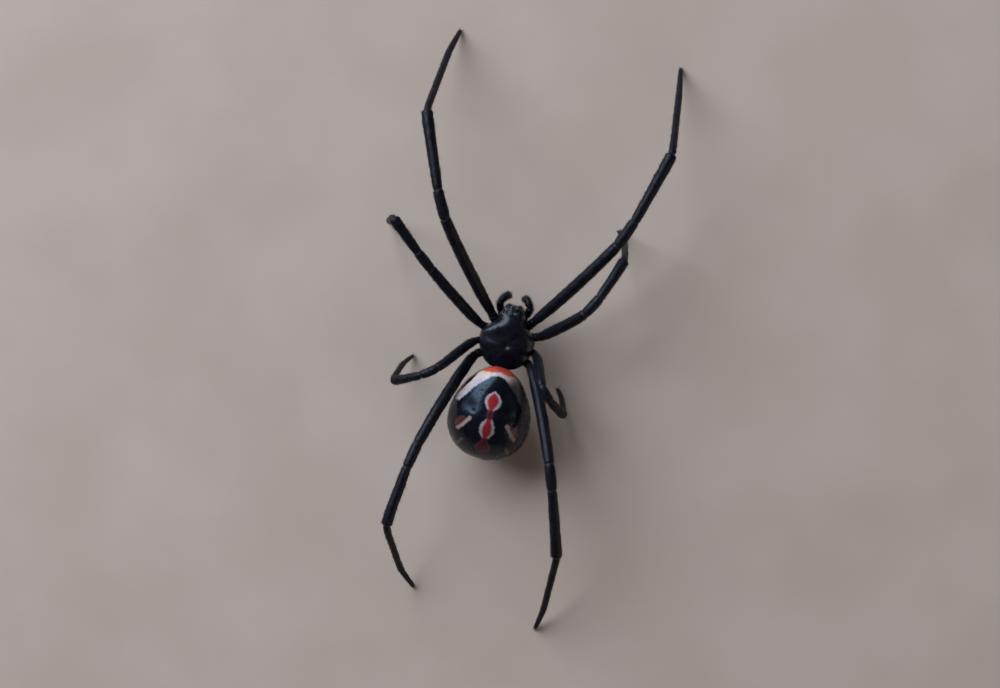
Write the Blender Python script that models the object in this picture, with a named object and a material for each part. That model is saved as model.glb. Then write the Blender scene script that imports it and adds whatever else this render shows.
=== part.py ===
"""A young adult female black widow spider, life size, standing on the tips of its eight legs.

Metres, +Z up. The spider faces -Y, so its left side is +X. It stands on the floor at Z 0, and the
origin is on the floor under the middle of its leg span.
"""

import math

import bmesh
import bpy
from mathutils import Matrix, Vector

MM = 0.001
LEFT = 1
RIGHT = -1
SIDES = {"left": LEFT, "right": RIGHT}

# Thin cuts part the pieces, and the eyes sit in their sockets with a thinner one
CUT = 0.15 * MM
EYE_CUT = 0.05 * MM

# Head and thorax: one low pear-shaped plate over the leg bases
CARAPACE_LENGTH = 3.75 * MM
THORAX_HALF_WIDTH = 1.6 * MM
HEAD_HALF_WIDTH = 0.86 * MM
RIM_HEIGHT = 2.62 * MM
THORAX_RISE = 0.78 * MM
HEAD_RISE = 1.0 * MM
PLATE_DEPTH = 0.12 * MM
FOVEA_FORWARD = -0.55 * MM
FOVEA_DEPTH = 0.16 * MM
FOVEA_REACH = 0.3 * MM

# Breast plate between the leg bases, with the lower lip at its front
STERNUM_LENGTH = 2.15 * MM
STERNUM_HALF_WIDTH = 0.84 * MM
STERNUM_TOP = RIM_HEIGHT - PLATE_DEPTH - CUT
STERNUM_DEPTH = 0.8 * MM
STERNUM_MIDDLE = -0.1 * MM
STERNUM_TAPER = 0.42
STERNUM_TAPER_START = 0.25
STERNUM_TAPER_REACH = 1.25
STERNUM_FLATNESS = 1.6
LIP_LENGTH = 0.42 * MM
LIP_RADIUS = 0.25 * MM

# Eight eyes in two rows, as (forward, outward, radius)
EYES = {
    "front_mid": (1.7 * MM, 0.17 * MM, 0.1 * MM),
    "front_side": (1.56 * MM, 0.52 * MM, 0.105 * MM),
    "rear_mid": (1.36 * MM, 0.2 * MM, 0.11 * MM),
    "rear_side": (1.22 * MM, 0.58 * MM, 0.105 * MM),
}
EYE_SUNK = 0.03 * MM
SLOPE_STEP = 0.03 * MM
EYE_AROUND = 10
EYE_ALONG = 6

# Jaws and feelers
JAW_LENGTH = 1.0 * MM
JAW_RADIUS = 0.27 * MM
JAW_OUT = 0.33 * MM
JAW_FORWARD = 1.58 * MM
JAW_TOP = RIM_HEIGHT - PLATE_DEPTH - CUT
JAW_LEAN = 0.16 * MM
JAW_SQUARENESS = 0.35
# The fang's tip from its root, as (forward, outward, up), and how thin it gets
FANG_REACH = (-0.14 * MM, -0.17 * MM, -0.3 * MM)
FANG_RADIUS = 0.12 * MM
FANG_POINT = 0.3
FANG_GAP = 0.08 * MM
FEELER_RADIUS = 0.235 * MM
FEELER_STEPS = 14
# The chewing lobe on the inner side of the feeler's base
LOBE_ROOT = (1.08 * MM, 0.62 * MM, 1.84 * MM)
LOBE_TIP = (1.16 * MM, 0.2 * MM, 1.76 * MM)
LOBE_RADIUS = 0.155 * MM
# The feeler's bends, as (forward, outward, height, share of its full radius)
FEELER_ROUTE = (
    (1.08 * MM, 0.62 * MM, 1.84 * MM, 0.65),
    (1.5 * MM, 0.80 * MM, 1.98 * MM, 0.85),
    (1.94 * MM, 0.86 * MM, 2.32 * MM, 0.95),
    (2.22 * MM, 0.68 * MM, 2.28 * MM, 1.0),
    (2.38 * MM, 0.54 * MM, 1.9 * MM, 1.0),
    (2.35 * MM, 0.47 * MM, 1.43 * MM, 0.85),
    (2.25 * MM, 0.42 * MM, 1.05 * MM, 0.4),
)

# Waist
WAIST_RADIUS = 0.24 * MM
WAIST_HEIGHT = 2.08 * MM
WAIST_FRONT = -1.36 * MM
WAIST_BACK = -2.6 * MM

# Abdomen: a globe that overhangs the waist, lowest and narrowest at the spinnerets
ABDOMEN_FRONT = -1.75 * MM
ABDOMEN_LENGTH = 5.47 * MM
ABDOMEN_HALF_WIDTH = 2.36 * MM
ABDOMEN_RISE = 2.32 * MM
ABDOMEN_SINK = 2.28 * MM
ABDOMEN_MIDDLE_HEIGHT = 2.66 * MM
ABDOMEN_FRONT_LIFT = 1.2 * MM
ABDOMEN_REAR_DROP = 0.35 * MM
ABDOMEN_SKEW = 0.17
ABDOMEN_FACETS = (32, 24)

# Spinnerets, as (forward from the cluster's middle, outward, radius, length)
SPINNERET_FORWARD = -6.42 * MM
SPINNERET_HEIGHT = 0.86 * MM
SPINNERETS = (
    (0.2 * MM, 0.17 * MM, 0.16 * MM, 0.55 * MM),
    (-0.02 * MM, 0.11 * MM, 0.1 * MM, 0.42 * MM),
    (-0.24 * MM, 0.18 * MM, 0.15 * MM, 0.52 * MM),
)
SPINNERET_BACKSET = 0.45
SPINNERET_TAPER = 0.55
# How far the cones lean apart for each metre that their roots are apart
SPINNERET_SPREAD_FORWARD = 250
SPINNERET_SPREAD_OUTWARD = 400
COLLAR_RADIUS = 0.36 * MM
COLLAR_SUNK = 0.05 * MM
# The anal knob's root and reach, as (forward, outward, up), and its two radii
KNOB_ROOT = (-0.3 * MM, 0.0, 0.1 * MM)
KNOB_REACH = (-0.32 * MM, 0.0, -0.1 * MM)
KNOB_RADII = (0.17 * MM, 0.07 * MM)

# Legs by pair, from the front: lengths of the podomeres and the greatest radius
PODOMERES = {
    1: {"femur": 7.0, "patella": 1.7, "tibia": 4.7, "metatarsus": 5.7, "tarsus": 2.2, "radius": 0.36},
    2: {"femur": 4.6, "patella": 1.3, "tibia": 2.7, "metatarsus": 3.8, "tarsus": 1.6, "radius": 0.335},
    3: {"femur": 3.7, "patella": 1.1, "tibia": 2.0, "metatarsus": 2.6, "tarsus": 1.3, "radius": 0.29},
    4: {"femur": 6.6, "patella": 1.5, "tibia": 3.9, "metatarsus": 4.6, "tarsus": 1.8, "radius": 0.35},
}
COXA_ROOT_HEIGHT = 2.0 * MM
HIP_HEIGHT = 2.34 * MM
# How far forward each leg leaves the breast plate, in mm, and the gap that its slanted root needs
COXA_ROOTS = {1: 0.72, 2: 0.2, 3: -0.38, 4: -0.92}
COXA_CLEARANCE = 0.2 * MM
# Where each thigh starts, as (forward, outward) in mm
HIPS = {1: (1.21, 1.3), 2: (0.36, 1.76), 3: (-0.56, 1.8), 4: (-1.3, 1.66)}
# The stance, read off the photograph from straight above, as (forward, outward) in mm
STANCE = {
    (1, LEFT): {"knee": (5.7, 4.98), "ankle": (11.5, 7.4), "tip": (16.9, 6.7)},
    (1, RIGHT): {"knee": (6.45, 4.9), "ankle": (12.2, 6.75), "tip": (17.6, 6.3)},
    (2, LEFT): {"knee": (2.78, 5.16), "ankle": (5.15, 7.9), "tip": (4.95, 8.1)},
    (2, RIGHT): {"knee": (2.2, 3.95), "ankle": (5.75, 5.5), "tip": (7.5, 4.9)},
    (3, LEFT): {"knee": (-2.64, 3.47), "ankle": (-4.0, 5.96), "tip": (-2.25, 5.1)},
    (3, RIGHT): {"knee": (-2.3, 2.44), "ankle": (-3.7, 4.15), "tip": (-2.25, 3.45)},
    (4, LEFT): {"knee": (-7.05, 3.65), "ankle": (-12.05, 4.4), "tip": (-15.5, 2.0)},
    (4, RIGHT): {"knee": (-6.5, 3.9), "ankle": (-11.65, 5.55), "tip": (-16.3, 5.35)},
}
# How far each foot bows outwards, as a share of its length
FOOT_BOWS = {
    (1, LEFT): 0.018,
    (1, RIGHT): 0.006,
    (2, LEFT): 0.03,
    (2, RIGHT): 0.045,
    (3, LEFT): 0.05,
    (3, RIGHT): 0.04,
    (4, LEFT): 0.055,
    (4, RIGHT): 0.025,
}
# How far the patella still runs the way of the thigh
PATELLA_CARRY = 0.3
FEMUR_ARCH = 0.035
FEMUR_BOW = 0.014
# The tarsus runs this far past the floor, where it is cut off flat
TIP_OVERRUN = 0.12 * MM
BEND_REACH = 0.42 * MM
BEND_SAMPLES = 9
# Rings near a bend, as shares of its reach, kept to this part of a podomere
BEND_RINGS = (0.35, 0.7, 1.05)
BEND_SHARE = 0.45
LEAST_RING_GAP = 0.07 * MM
SLICE_MARGIN = 0.3 * MM
HEADING_STEP = 0.02 * MM

# Radius along each podomere, as (share of its length, share of the leg's greatest radius)
THICKNESS = {
    "coxa": ((0.0, 0.6), (0.2, 0.71), (0.5, 0.84), (0.64, 0.79), (0.72, 0.64), (0.84, 0.73), (1.0, 0.64)),
    "femur": ((0.0, 0.66), (0.07, 0.8), (0.22, 0.97), (0.5, 1.0), (0.75, 0.97), (0.93, 0.94), (1.0, 0.8)),
    "patella": ((0.0, 0.8), (0.25, 0.95), (0.6, 0.95), (0.85, 0.88), (1.0, 0.74)),
    "tibia": ((0.0, 0.74), (0.12, 0.86), (0.4, 0.88), (0.7, 0.93), (0.93, 1.0), (1.0, 0.84)),
    "metatarsus": ((0.0, 0.64), (0.35, 0.6), (0.96, 0.6), (1.0, 0.58)),
    "tarsus": ((0.0, 0.56), (0.12, 0.55), (0.6, 0.44), (1.0, 0.34)),
}
# Nothing before the tarsus is thinner than this
LEAST_RADIUS = 0.22 * MM
LEG_SMOOTHNESS = 3
PODOMERE_ORDER = ("coxa", "femur", "patella", "tibia", "metatarsus", "tarsus")
# The foot is the metatarsus and the tarsus, which are one node
LEG_NODES = {"coxa": (0, 1), "femur": (1, 2), "patella": (2, 3), "tibia": (3, 4), "foot": (4, 6)}

# Colours as (red, green, blue), roughness
FINISHES = {
    "carapace_cuticle": ((0.016, 0.016, 0.022), 0.3),
    "leg_cuticle": ((0.014, 0.014, 0.02), 0.38),
    "abdomen_cuticle": ((0.012, 0.012, 0.018), 0.18),
    "eye_lens": ((0.03, 0.025, 0.03), 0.05),
    "fang_horn": ((0.09, 0.03, 0.02), 0.25),
    "spinneret_cuticle": ((0.05, 0.04, 0.04), 0.45),
}


def clear_scene():
    for old in list(bpy.data.objects):
        bpy.data.objects.remove(old, do_unlink=True)


def smooth_step(value):
    share = min(1.0, max(0.0, value))
    return share * share * (3 - 2 * share)


def spot(forward, outward, height, side=LEFT):
    """A point from the spider's own directions: forward, outward on the given side, and up."""
    return Vector((side * outward, -forward, height))


def collection_named(name):
    made = bpy.data.collections.new(name)
    bpy.context.scene.collection.children.link(made)
    return made


def finish_material(name):
    """A Principled material of one of the finishes, made once and shared."""
    found = bpy.data.materials.get(name)
    if found:
        return found
    colour, roughness = FINISHES[name]
    made = bpy.data.materials.new(name)
    made.use_nodes = True
    shader = made.node_tree.nodes["Principled BSDF"]
    shader.inputs["Base Color"].default_value = (*colour, 1.0)
    shader.inputs["Roughness"].default_value = roughness
    shader.inputs["Metallic"].default_value = 0.0
    made.diffuse_color = (*colour, 1.0)
    return made


def add_object(name, shape, collection, finish, parent=None):
    """A smooth-shaded object from a bmesh, facing outwards, with its finish."""
    bmesh.ops.recalc_face_normals(shape, faces=shape.faces)
    if shape.calc_volume(signed=True) < 0:
        bmesh.ops.reverse_faces(shape, faces=shape.faces)
    mesh = bpy.data.meshes.new(name)
    shape.to_mesh(mesh)
    shape.free()
    mesh.shade_smooth()
    mesh.set_sharp_from_angle(angle=math.radians(40))
    mesh.materials.append(finish_material(finish))
    made = bpy.data.objects.new(name, mesh)
    collection.objects.link(made)
    made.parent = parent
    return made


def shaped_globe(around, along, place):
    """A sphere whose poles are its front and rear ends, with each vertex put where place() says.

    place() takes the share from rear (-1) to front (1) and the ring's angle, 0 at the left side and a
    quarter turn at the top, and gives the point.
    """
    shape = bmesh.new()
    bmesh.ops.create_uvsphere(shape, u_segments=around, v_segments=along, radius=1.0)
    for vertex in shape.verts:
        share = max(-1.0, min(1.0, vertex.co.z))
        vertex.co = place(share, math.atan2(vertex.co.y, vertex.co.x))
    return shape


def roundness(share, power):
    return max(0.0, 1 - share * share) ** (power / 2)


def carapace_half_width(share):
    """Half the plate's width at a share of its length: broad thorax, narrow blunt head."""
    head = smooth_step((share + 0.02) / 0.62)
    width = THORAX_HALF_WIDTH * (1 - head) + HEAD_HALF_WIDTH * head
    return width * roundness(share + 0.02 * (1 - share * share), 0.5 + 0.25 * (1 - head))


def carapace_rise(share):
    """The plate's height over its rim on the midline."""
    head = smooth_step((share + 0.15) / 0.5)
    rear_slope = smooth_step((share + 1.15) / 0.9)
    rise = (THORAX_RISE * (1 - head) + HEAD_RISE * head) * (0.35 + 0.65 * rear_slope)
    return rise * roundness(share, 0.42)


def fovea_dip(forward, outward):
    """The pit in the middle of the thorax, where the stomach muscles are rooted."""
    away = math.hypot((forward - FOVEA_FORWARD) / 0.75, outward * 1.1) / FOVEA_REACH
    return FOVEA_DEPTH * math.exp(-away * away)


def carapace_point(share, angle):
    across, up = math.cos(angle), math.sin(angle)
    forward = share * CARAPACE_LENGTH / 2
    outward = carapace_half_width(share) * across
    if up < 0:
        height = RIM_HEIGHT + PLATE_DEPTH * up * roundness(share, 0.4)
    else:
        height = RIM_HEIGHT + carapace_rise(share) * up**0.85 - fovea_dip(forward, outward) * up
    return spot(forward, outward, height)


def carapace_top(forward, outward):
    """The height of the plate's upper face over a spot on its plan."""
    share = forward / (CARAPACE_LENGTH / 2)
    across = min(1.0, abs(outward) / carapace_half_width(share))
    return carapace_point(share, math.acos(across)).z


def carapace_normal(forward, outward, side):
    """The plate's outward normal over a spot on its plan."""
    ahead = carapace_top(forward + SLOPE_STEP, outward) - carapace_top(forward - SLOPE_STEP, outward)
    aside = carapace_top(forward, outward + SLOPE_STEP) - carapace_top(forward, outward - SLOPE_STEP)
    return spot(-ahead, -aside, 2 * SLOPE_STEP, side).normalized()


def eye_seats():
    """Each eye's name, centre and radius, sunk a little into the plate along the plate's own normal."""
    seats = {}
    for row, (forward, outward, radius) in EYES.items():
        for side_name, side in SIDES.items():
            surface = spot(forward, outward, carapace_top(forward, outward), side)
            centre = surface - carapace_normal(forward, outward, side) * EYE_SUNK
            seats[f"eye_{row}_{side_name}"] = (centre, radius)
    return seats


def ball(centre, radius, around=EYE_AROUND, along=EYE_ALONG):
    shape = bmesh.new()
    bmesh.ops.create_uvsphere(
        shape, u_segments=around, v_segments=along, radius=radius, matrix=Matrix.Translation(centre)
    )
    return shape


def make_carapace_and_eyes(parts, spider):
    shape = shaped_globe(28, 20, carapace_point)
    plate = add_object("carapace", shape, parts, "carapace_cuticle", spider)
    sockets = []
    for name, (centre, radius) in eye_seats().items():
        add_object(name, ball(centre, radius), parts, "eye_lens", spider)
        sockets.append(ball(centre, radius + EYE_CUT))
    combine(plate, sockets, "DIFFERENCE")


def sternum_half_width(share):
    taper = 1 - STERNUM_TAPER * smooth_step((STERNUM_TAPER_START - share) / STERNUM_TAPER_REACH)
    return STERNUM_HALF_WIDTH * taper * roundness(share, 0.6)


def sternum_point(share, angle):
    """A shield: broad in front, drawn to a point between the rear legs."""
    across, up = math.cos(angle), math.sin(angle)
    forward = STERNUM_MIDDLE + share * STERNUM_LENGTH / 2
    outward = sternum_half_width(share) * across
    middle = STERNUM_TOP - STERNUM_DEPTH / 2
    flat_top = max(-1.0, min(1.0, up * STERNUM_FLATNESS))
    height = middle + STERNUM_DEPTH / 2 * flat_top * roundness(share, 0.5)
    return spot(forward, outward, height)


def make_sternum(parts, spider):
    front = STERNUM_MIDDLE + STERNUM_LENGTH / 2
    height = STERNUM_TOP - STERNUM_DEPTH / 2
    lip_root = spot(front - LIP_LENGTH / 2, 0, height)
    lip_tip = spot(front + LIP_LENGTH / 2, 0, height)
    shape = shaped_globe(20, 14, sternum_point)
    shield = add_object("sternum", shape, parts, "carapace_cuticle", spider)
    combine(shield, [drop(lip_root, lip_tip, LIP_RADIUS, 10, 8)], "UNION")


def abdomen_point(share, angle):
    """A globe, widest behind its middle, whose front is lifted over the waist and whose rear droops."""
    across, up = math.cos(angle), math.sin(angle)
    ring = roundness(share, 1.0)
    forward = ABDOMEN_FRONT - (1 - share) * ABDOMEN_LENGTH / 2
    outward = ABDOMEN_HALF_WIDTH * ring * (1 - ABDOMEN_SKEW * share) * across
    axis = ABDOMEN_MIDDLE_HEIGHT + ABDOMEN_FRONT_LIFT * max(0.0, share) ** 2
    axis -= ABDOMEN_REAR_DROP * max(0.0, -share) ** 2
    half_height = ABDOMEN_RISE if up > 0 else ABDOMEN_SINK
    return spot(forward, outward, axis + half_height * ring * up)


def swollen_abdomen():
    """The abdomen grown by the thin cut, which trims what is rooted on it."""
    middle = spot(ABDOMEN_FRONT - ABDOMEN_LENGTH / 2, 0, ABDOMEN_MIDDLE_HEIGHT)

    def place(share, angle):
        point = abdomen_point(share, angle)
        return point + (point - middle).normalized() * CUT

    return shaped_globe(*ABDOMEN_FACETS, place)


def make_abdomen(parts, spider):
    shape = shaped_globe(*ABDOMEN_FACETS, abdomen_point)
    add_object("abdomen", shape, parts, "abdomen_cuticle", spider)


def cone_between(start, end, radius_start, radius_end, sides=12):
    """A cone or a cylinder between two points, with closed ends."""
    axis = end - start
    turn = axis.to_track_quat("Z", "Y").to_matrix().to_4x4()
    shape = bmesh.new()
    bmesh.ops.create_cone(
        shape,
        cap_ends=True,
        cap_tris=False,
        segments=sides,
        radius1=radius_start,
        radius2=radius_end,
        depth=axis.length,
        matrix=Matrix.Translation((start + end) / 2) @ turn,
    )
    return shape


def largest_surface(mesh):
    """Drops every closed surface of the mesh but the largest."""
    shape = bmesh.new()
    shape.from_mesh(mesh)
    waiting = set(shape.verts)
    surfaces = []
    while waiting:
        found = [waiting.pop()]
        for vertex in found:
            for edge in vertex.link_edges:
                other = edge.other_vert(vertex)
                if other in waiting:
                    waiting.remove(other)
                    found.append(other)
        surfaces.append(found)
    surfaces.sort(key=len)
    for scrap in surfaces[:-1]:
        bmesh.ops.delete(shape, geom=scrap, context="VERTS")
    shape.to_mesh(mesh)
    shape.free()


def combine(target, shapes, operation):
    """Joins the shapes to the target, or takes them out of it, with one Boolean, and applies it."""
    group = bpy.data.collections.new(f"{target.name}_pieces")
    bpy.context.scene.collection.children.link(group)
    for index, shape in enumerate(shapes):
        add_object(f"{target.name}_piece_{index}", shape, group, target.active_material.name, target.parent)
    boolean = target.modifiers.new("combine", "BOOLEAN")
    boolean.operation = operation
    boolean.operand_type = "COLLECTION"
    boolean.collection = group
    boolean.solver = "EXACT"
    bpy.context.view_layer.update()
    graph = bpy.context.evaluated_depsgraph_get()
    combined = bpy.data.meshes.new_from_object(target.evaluated_get(graph))
    largest_surface(combined)
    target.modifiers.clear()
    target.data = combined
    for piece in list(group.objects):
        bpy.data.objects.remove(piece, do_unlink=True)
    bpy.data.collections.remove(group)


def make_waist(parts, spider):
    """The stalk that joins the two halves of the body, trimmed by the abdomen with a thin cut."""
    start = spot(WAIST_FRONT, 0, WAIST_HEIGHT)
    end = spot(WAIST_BACK, 0, WAIST_HEIGHT)
    shape = cone_between(start, end, WAIST_RADIUS, WAIST_RADIUS)
    waist = add_object("pedicel", shape, parts, "carapace_cuticle", spider)
    combine(waist, [swollen_abdomen()], "DIFFERENCE")


def make_spinnerets(parts, spider):
    """Three pairs of short cones set close together, with the small anal knob above them."""
    middle = spot(SPINNERET_FORWARD, 0, SPINNERET_HEIGHT)
    aim = spot(-SPINNERET_BACKSET, 0, -1.0).normalized()
    collar = ball(middle - aim * COLLAR_SUNK, COLLAR_RADIUS, 14, 10)
    cluster = add_object("spinnerets", collar, parts, "spinneret_cuticle", spider)
    cones = []
    for forward, outward, radius, length in SPINNERETS:
        for side in SIDES.values():
            root = middle + spot(forward, outward, 0, side)
            apart = spot(forward * SPINNERET_SPREAD_FORWARD, outward * SPINNERET_SPREAD_OUTWARD, 0, side)
            tip = root + (aim + apart).normalized() * length
            cones.append(cone_between(root, tip, radius, radius * SPINNERET_TAPER, 10))
    knob_root = middle + spot(*KNOB_ROOT)
    cones.append(cone_between(knob_root, knob_root + spot(*KNOB_REACH), *KNOB_RADII, 10))
    combine(cluster, cones, "UNION")
    combine(cluster, [swollen_abdomen()], "DIFFERENCE")


def drop(root, tip, radius, sides=12, rings=10, blunt=0.75, power=0.7):
    """A drop-shaped body from a thick root to a tip; a low power gives it squarer ends."""
    axis = tip - root
    turn = axis.to_track_quat("Z", "Y")

    def place(share, angle):
        along = (share + 1) / 2
        width = radius * roundness(share, power) * (1 - (1 - blunt) * along)
        local = Vector((width * math.cos(angle), width * math.sin(angle), along * axis.length))
        return root + turn @ local

    return shaped_globe(sides, rings, place)


def make_jaws(parts, spider):
    """The two chelicerae hang under the face, each with a short fang folded inwards at its tip."""
    for side_name, side in SIDES.items():
        root = spot(JAW_FORWARD, JAW_OUT, JAW_TOP, side)
        tip = spot(JAW_FORWARD + JAW_LEAN, JAW_OUT * 0.95, JAW_TOP - JAW_LENGTH, side)
        jaw = drop(root, tip, JAW_RADIUS, power=JAW_SQUARENESS)
        add_object(f"chelicera_{side_name}", jaw, parts, "carapace_cuticle", spider)
        fang_root = tip + Vector((0, 0, -FANG_GAP))
        fang_tip = fang_root + spot(*FANG_REACH, side)
        fang = drop(fang_root, fang_tip, FANG_RADIUS, 8, 8, FANG_POINT, JAW_SQUARENESS)
        add_object(f"fang_{side_name}", fang, parts, "fang_horn", spider)


def tube(points, radii, resolution):
    """A bmesh tube with closed ends through the points, from a curve with a bevel."""
    curve = bpy.data.curves.new("tube", "CURVE")
    curve.dimensions = "3D"
    curve.bevel_depth = 1.0
    curve.bevel_resolution = resolution
    curve.use_fill_caps = True
    spline = curve.splines.new("POLY")
    spline.points.add(len(points) - 1)
    for knot, point, radius in zip(spline.points, points, radii):
        knot.co = (*point, 1.0)
        knot.radius = radius
    guide = bpy.data.objects.new("tube", curve)
    bpy.context.scene.collection.objects.link(guide)
    bpy.context.view_layer.update()
    graph = bpy.context.evaluated_depsgraph_get()
    mesh = bpy.data.meshes.new_from_object(guide.evaluated_get(graph))
    shape = bmesh.new()
    shape.from_mesh(mesh)
    bmesh.ops.remove_doubles(shape, verts=shape.verts, dist=0.001 * MM)
    bpy.data.objects.remove(guide, do_unlink=True)
    bpy.data.curves.remove(curve)
    bpy.data.meshes.remove(mesh)
    return shape


def slice_off(shape, point, normal):
    """Cuts the shape at a plane, takes away the side that the normal points to and closes the cut."""
    everything = list(shape.verts) + list(shape.edges) + list(shape.faces)
    bmesh.ops.bisect_plane(
        shape, geom=everything, dist=0.0001 * MM, plane_co=point, plane_no=normal, clear_outer=True
    )
    rim = [edge for edge in shape.edges if edge.is_boundary]
    bmesh.ops.holes_fill(shape, edges=rim, sides=0)


class Route:
    """A smooth line through points: straight runs, rounded where they meet."""

    def __init__(self, points):
        self.points = points
        self.marks = [0.0]
        for start, end in zip(points, points[1:]):
            self.marks.append(self.marks[-1] + (end - start).length)
        self.length = self.marks[-1]

    def corner_line(self, station):
        """A point on the unrounded line, carried straight on past its ends."""
        last = len(self.points) - 2
        index = 0
        while index < last and station > self.marks[index + 1]:
            index += 1
        start, end = self.points[index], self.points[index + 1]
        share = (station - self.marks[index]) / (self.marks[index + 1] - self.marks[index])
        return start + (end - start) * share

    def at(self, station):
        total = Vector((0, 0, 0))
        for sample in range(BEND_SAMPLES):
            offset = BEND_REACH * (2 * sample / (BEND_SAMPLES - 1) - 1)
            total += self.corner_line(station + offset)
        return total / BEND_SAMPLES

    def heading(self, station):
        return (self.at(station + HEADING_STEP) - self.at(station - HEADING_STEP)).normalized()


def share_between(shares, place):
    """The value at a place, as a share of the way along the list."""
    position = place * (len(shares) - 1)
    lower = min(int(position), len(shares) - 2)
    return shares[lower] + (shares[lower + 1] - shares[lower]) * (position - lower)


def make_feelers(parts, spider):
    shares = [share for *_, share in FEELER_ROUTE]
    for side_name, side in SIDES.items():
        route = Route([spot(*bend[:3], side) for bend in FEELER_ROUTE])
        places = [step / FEELER_STEPS for step in range(FEELER_STEPS + 1)]
        points = [route.at(route.length * place) for place in places]
        radii = [FEELER_RADIUS * share_between(shares, place) for place in places]
        shape = tube(points, radii, LEG_SMOOTHNESS)
        feeler = add_object(f"pedipalp_{side_name}", shape, parts, "leg_cuticle", spider)
        lobe = drop(spot(*LOBE_ROOT, side), spot(*LOBE_TIP, side), LOBE_RADIUS, 10, 6)
        combine(feeler, [lobe], "UNION")


def plan_distance(first, second):
    return math.hypot(first.x - second.x, first.y - second.y)


def height_over(reach, length):
    """How high a straight limb of this length climbs over this reach on the plan."""
    return math.sqrt(max(0.0, length * length - reach * reach))


def leg_corners(pair, side):
    """The leg's joints from coxa root to tip. The lengths of thigh and foot set the joints' heights."""
    sizes = {name: value * MM for name, value in PODOMERES[pair].items()}
    stance = {name: [value * MM for value in spot_mm] for name, spot_mm in STANCE[(pair, side)].items()}
    leaves = COXA_ROOTS[pair] * MM
    plate_edge = sternum_half_width((leaves - STERNUM_MIDDLE) / (STERNUM_LENGTH / 2))
    root = spot(leaves, plate_edge + COXA_CLEARANCE, COXA_ROOT_HEIGHT, side)
    hip = spot(HIPS[pair][0] * MM, HIPS[pair][1] * MM, HIP_HEIGHT, side)
    knee = spot(*stance["knee"], 0, side)
    ankle = spot(*stance["ankle"], 0, side)
    tip = spot(*stance["tip"], 0, side)
    knee.z = hip.z + height_over(plan_distance(hip, knee), sizes["femur"])
    ankle.z = height_over(plan_distance(ankle, tip), sizes["metatarsus"] + sizes["tarsus"])
    carry = (knee - hip).normalized() * PATELLA_CARRY + (ankle - knee).normalized() * (1 - PATELLA_CARRY)
    shin = knee + carry.normalized() * sizes["patella"]
    heel_share = sizes["metatarsus"] / (sizes["metatarsus"] + sizes["tarsus"])
    heel = ankle + (tip - ankle) * heel_share
    heel.x += side * FOOT_BOWS[(pair, side)] * (tip - ankle).length
    return [root, hip, knee, shin, ankle, heel, tip + (tip - heel).normalized() * TIP_OVERRUN]


def leg_radius(podomere, share, greatest):
    """The radius at a share of a podomere's length, read between the points of its thickness."""
    marks = THICKNESS[podomere]
    found = marks[-1][1]
    for (low, low_share), (high, high_share) in zip(marks, marks[1:]):
        if low <= share <= high:
            found = low_share + (high_share - low_share) * (share - low) / (high - low)
            break
    least = 0.0 if podomere == "tarsus" else LEAST_RADIUS
    return max(least, greatest * found)


def leg_rings(route, greatest):
    """Stations along the leg and the radius at each: every thickness mark, and more at the bends."""
    rings = {}
    for index, podomere in enumerate(PODOMERE_ORDER):
        start, end = route.marks[index], route.marks[index + 1]
        shares = {mark for mark, _ in THICKNESS[podomere]}
        near = [BEND_REACH * reach / (end - start) for reach in BEND_RINGS]
        shares |= {share for share in near if share < BEND_SHARE}
        shares |= {1 - share for share in near if share < BEND_SHARE}
        for share in sorted(shares):
            rings[round(start + (end - start) * share, 8)] = leg_radius(podomere, share, greatest)
    ordered = []
    for station in sorted(rings):
        if not ordered or station - ordered[-1] > LEAST_RING_GAP:
            ordered.append(station)
    return ordered, rings


def thigh_arch(route, station, side):
    """The thigh arches up and bows outwards a little between its joints."""
    start, end = route.marks[1], route.marks[2]
    share = (station - start) / (end - start)
    if not 0 < share < 1:
        return Vector((0, 0, 0))
    reach = (end - start) * math.sin(math.pi * share)
    return Vector((side * FEMUR_BOW * reach, 0, FEMUR_ARCH * reach))


def make_leg(pair, side_name, parts, spider):
    side = SIDES[side_name]
    greatest = PODOMERES[pair]["radius"] * MM
    route = Route(leg_corners(pair, side))
    stations, rings = leg_rings(route, greatest)
    for node, (first, last) in LEG_NODES.items():
        start, end = route.marks[first], route.marks[last]
        near = [s for s in stations if s < end + SLICE_MARGIN]
        if first > 0:
            near = [s for s in near if s > start - SLICE_MARGIN]
        points = [route.at(s) + thigh_arch(route, s, side) for s in near]
        shape = tube(points, [rings[s] for s in near], LEG_SMOOTHNESS)
        if first > 0:
            heading = route.heading(start)
            slice_off(shape, route.at(start) + heading * CUT / 2, -heading)
        if last < len(PODOMERE_ORDER):
            heading = route.heading(end)
            slice_off(shape, route.at(end) - heading * CUT / 2, heading)
        else:
            slice_off(shape, Vector((0, 0, 0)), Vector((0, 0, -1)))
        add_object(f"leg{pair}_{side_name}_{node}", shape, parts, "leg_cuticle", spider)


def stand_on_origin(parts, spider):
    """Moves the whole spider so that its box's middle is over the origin."""
    bpy.context.view_layer.update()
    corners = [piece.matrix_world @ vertex.co for piece in parts.objects for vertex in piece.data.vertices]
    for axis in (0, 1):
        values = [corner[axis] for corner in corners]
        spider.location[axis] = -(min(values) + max(values)) / 2
    bpy.context.view_layer.update()


def build_spider():
    clear_scene()
    parts = collection_named("black_widow_spider")
    spider = bpy.data.objects.new("spider_stance", None)
    bpy.context.scene.collection.objects.link(spider)
    make_carapace_and_eyes(parts, spider)
    make_sternum(parts, spider)
    make_waist(parts, spider)
    make_abdomen(parts, spider)
    make_spinnerets(parts, spider)
    make_jaws(parts, spider)
    make_feelers(parts, spider)
    for pair in PODOMERES:
        for side_name in SIDES:
            make_leg(pair, side_name, parts, spider)
    stand_on_origin(parts, spider)


build_spider()
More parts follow.
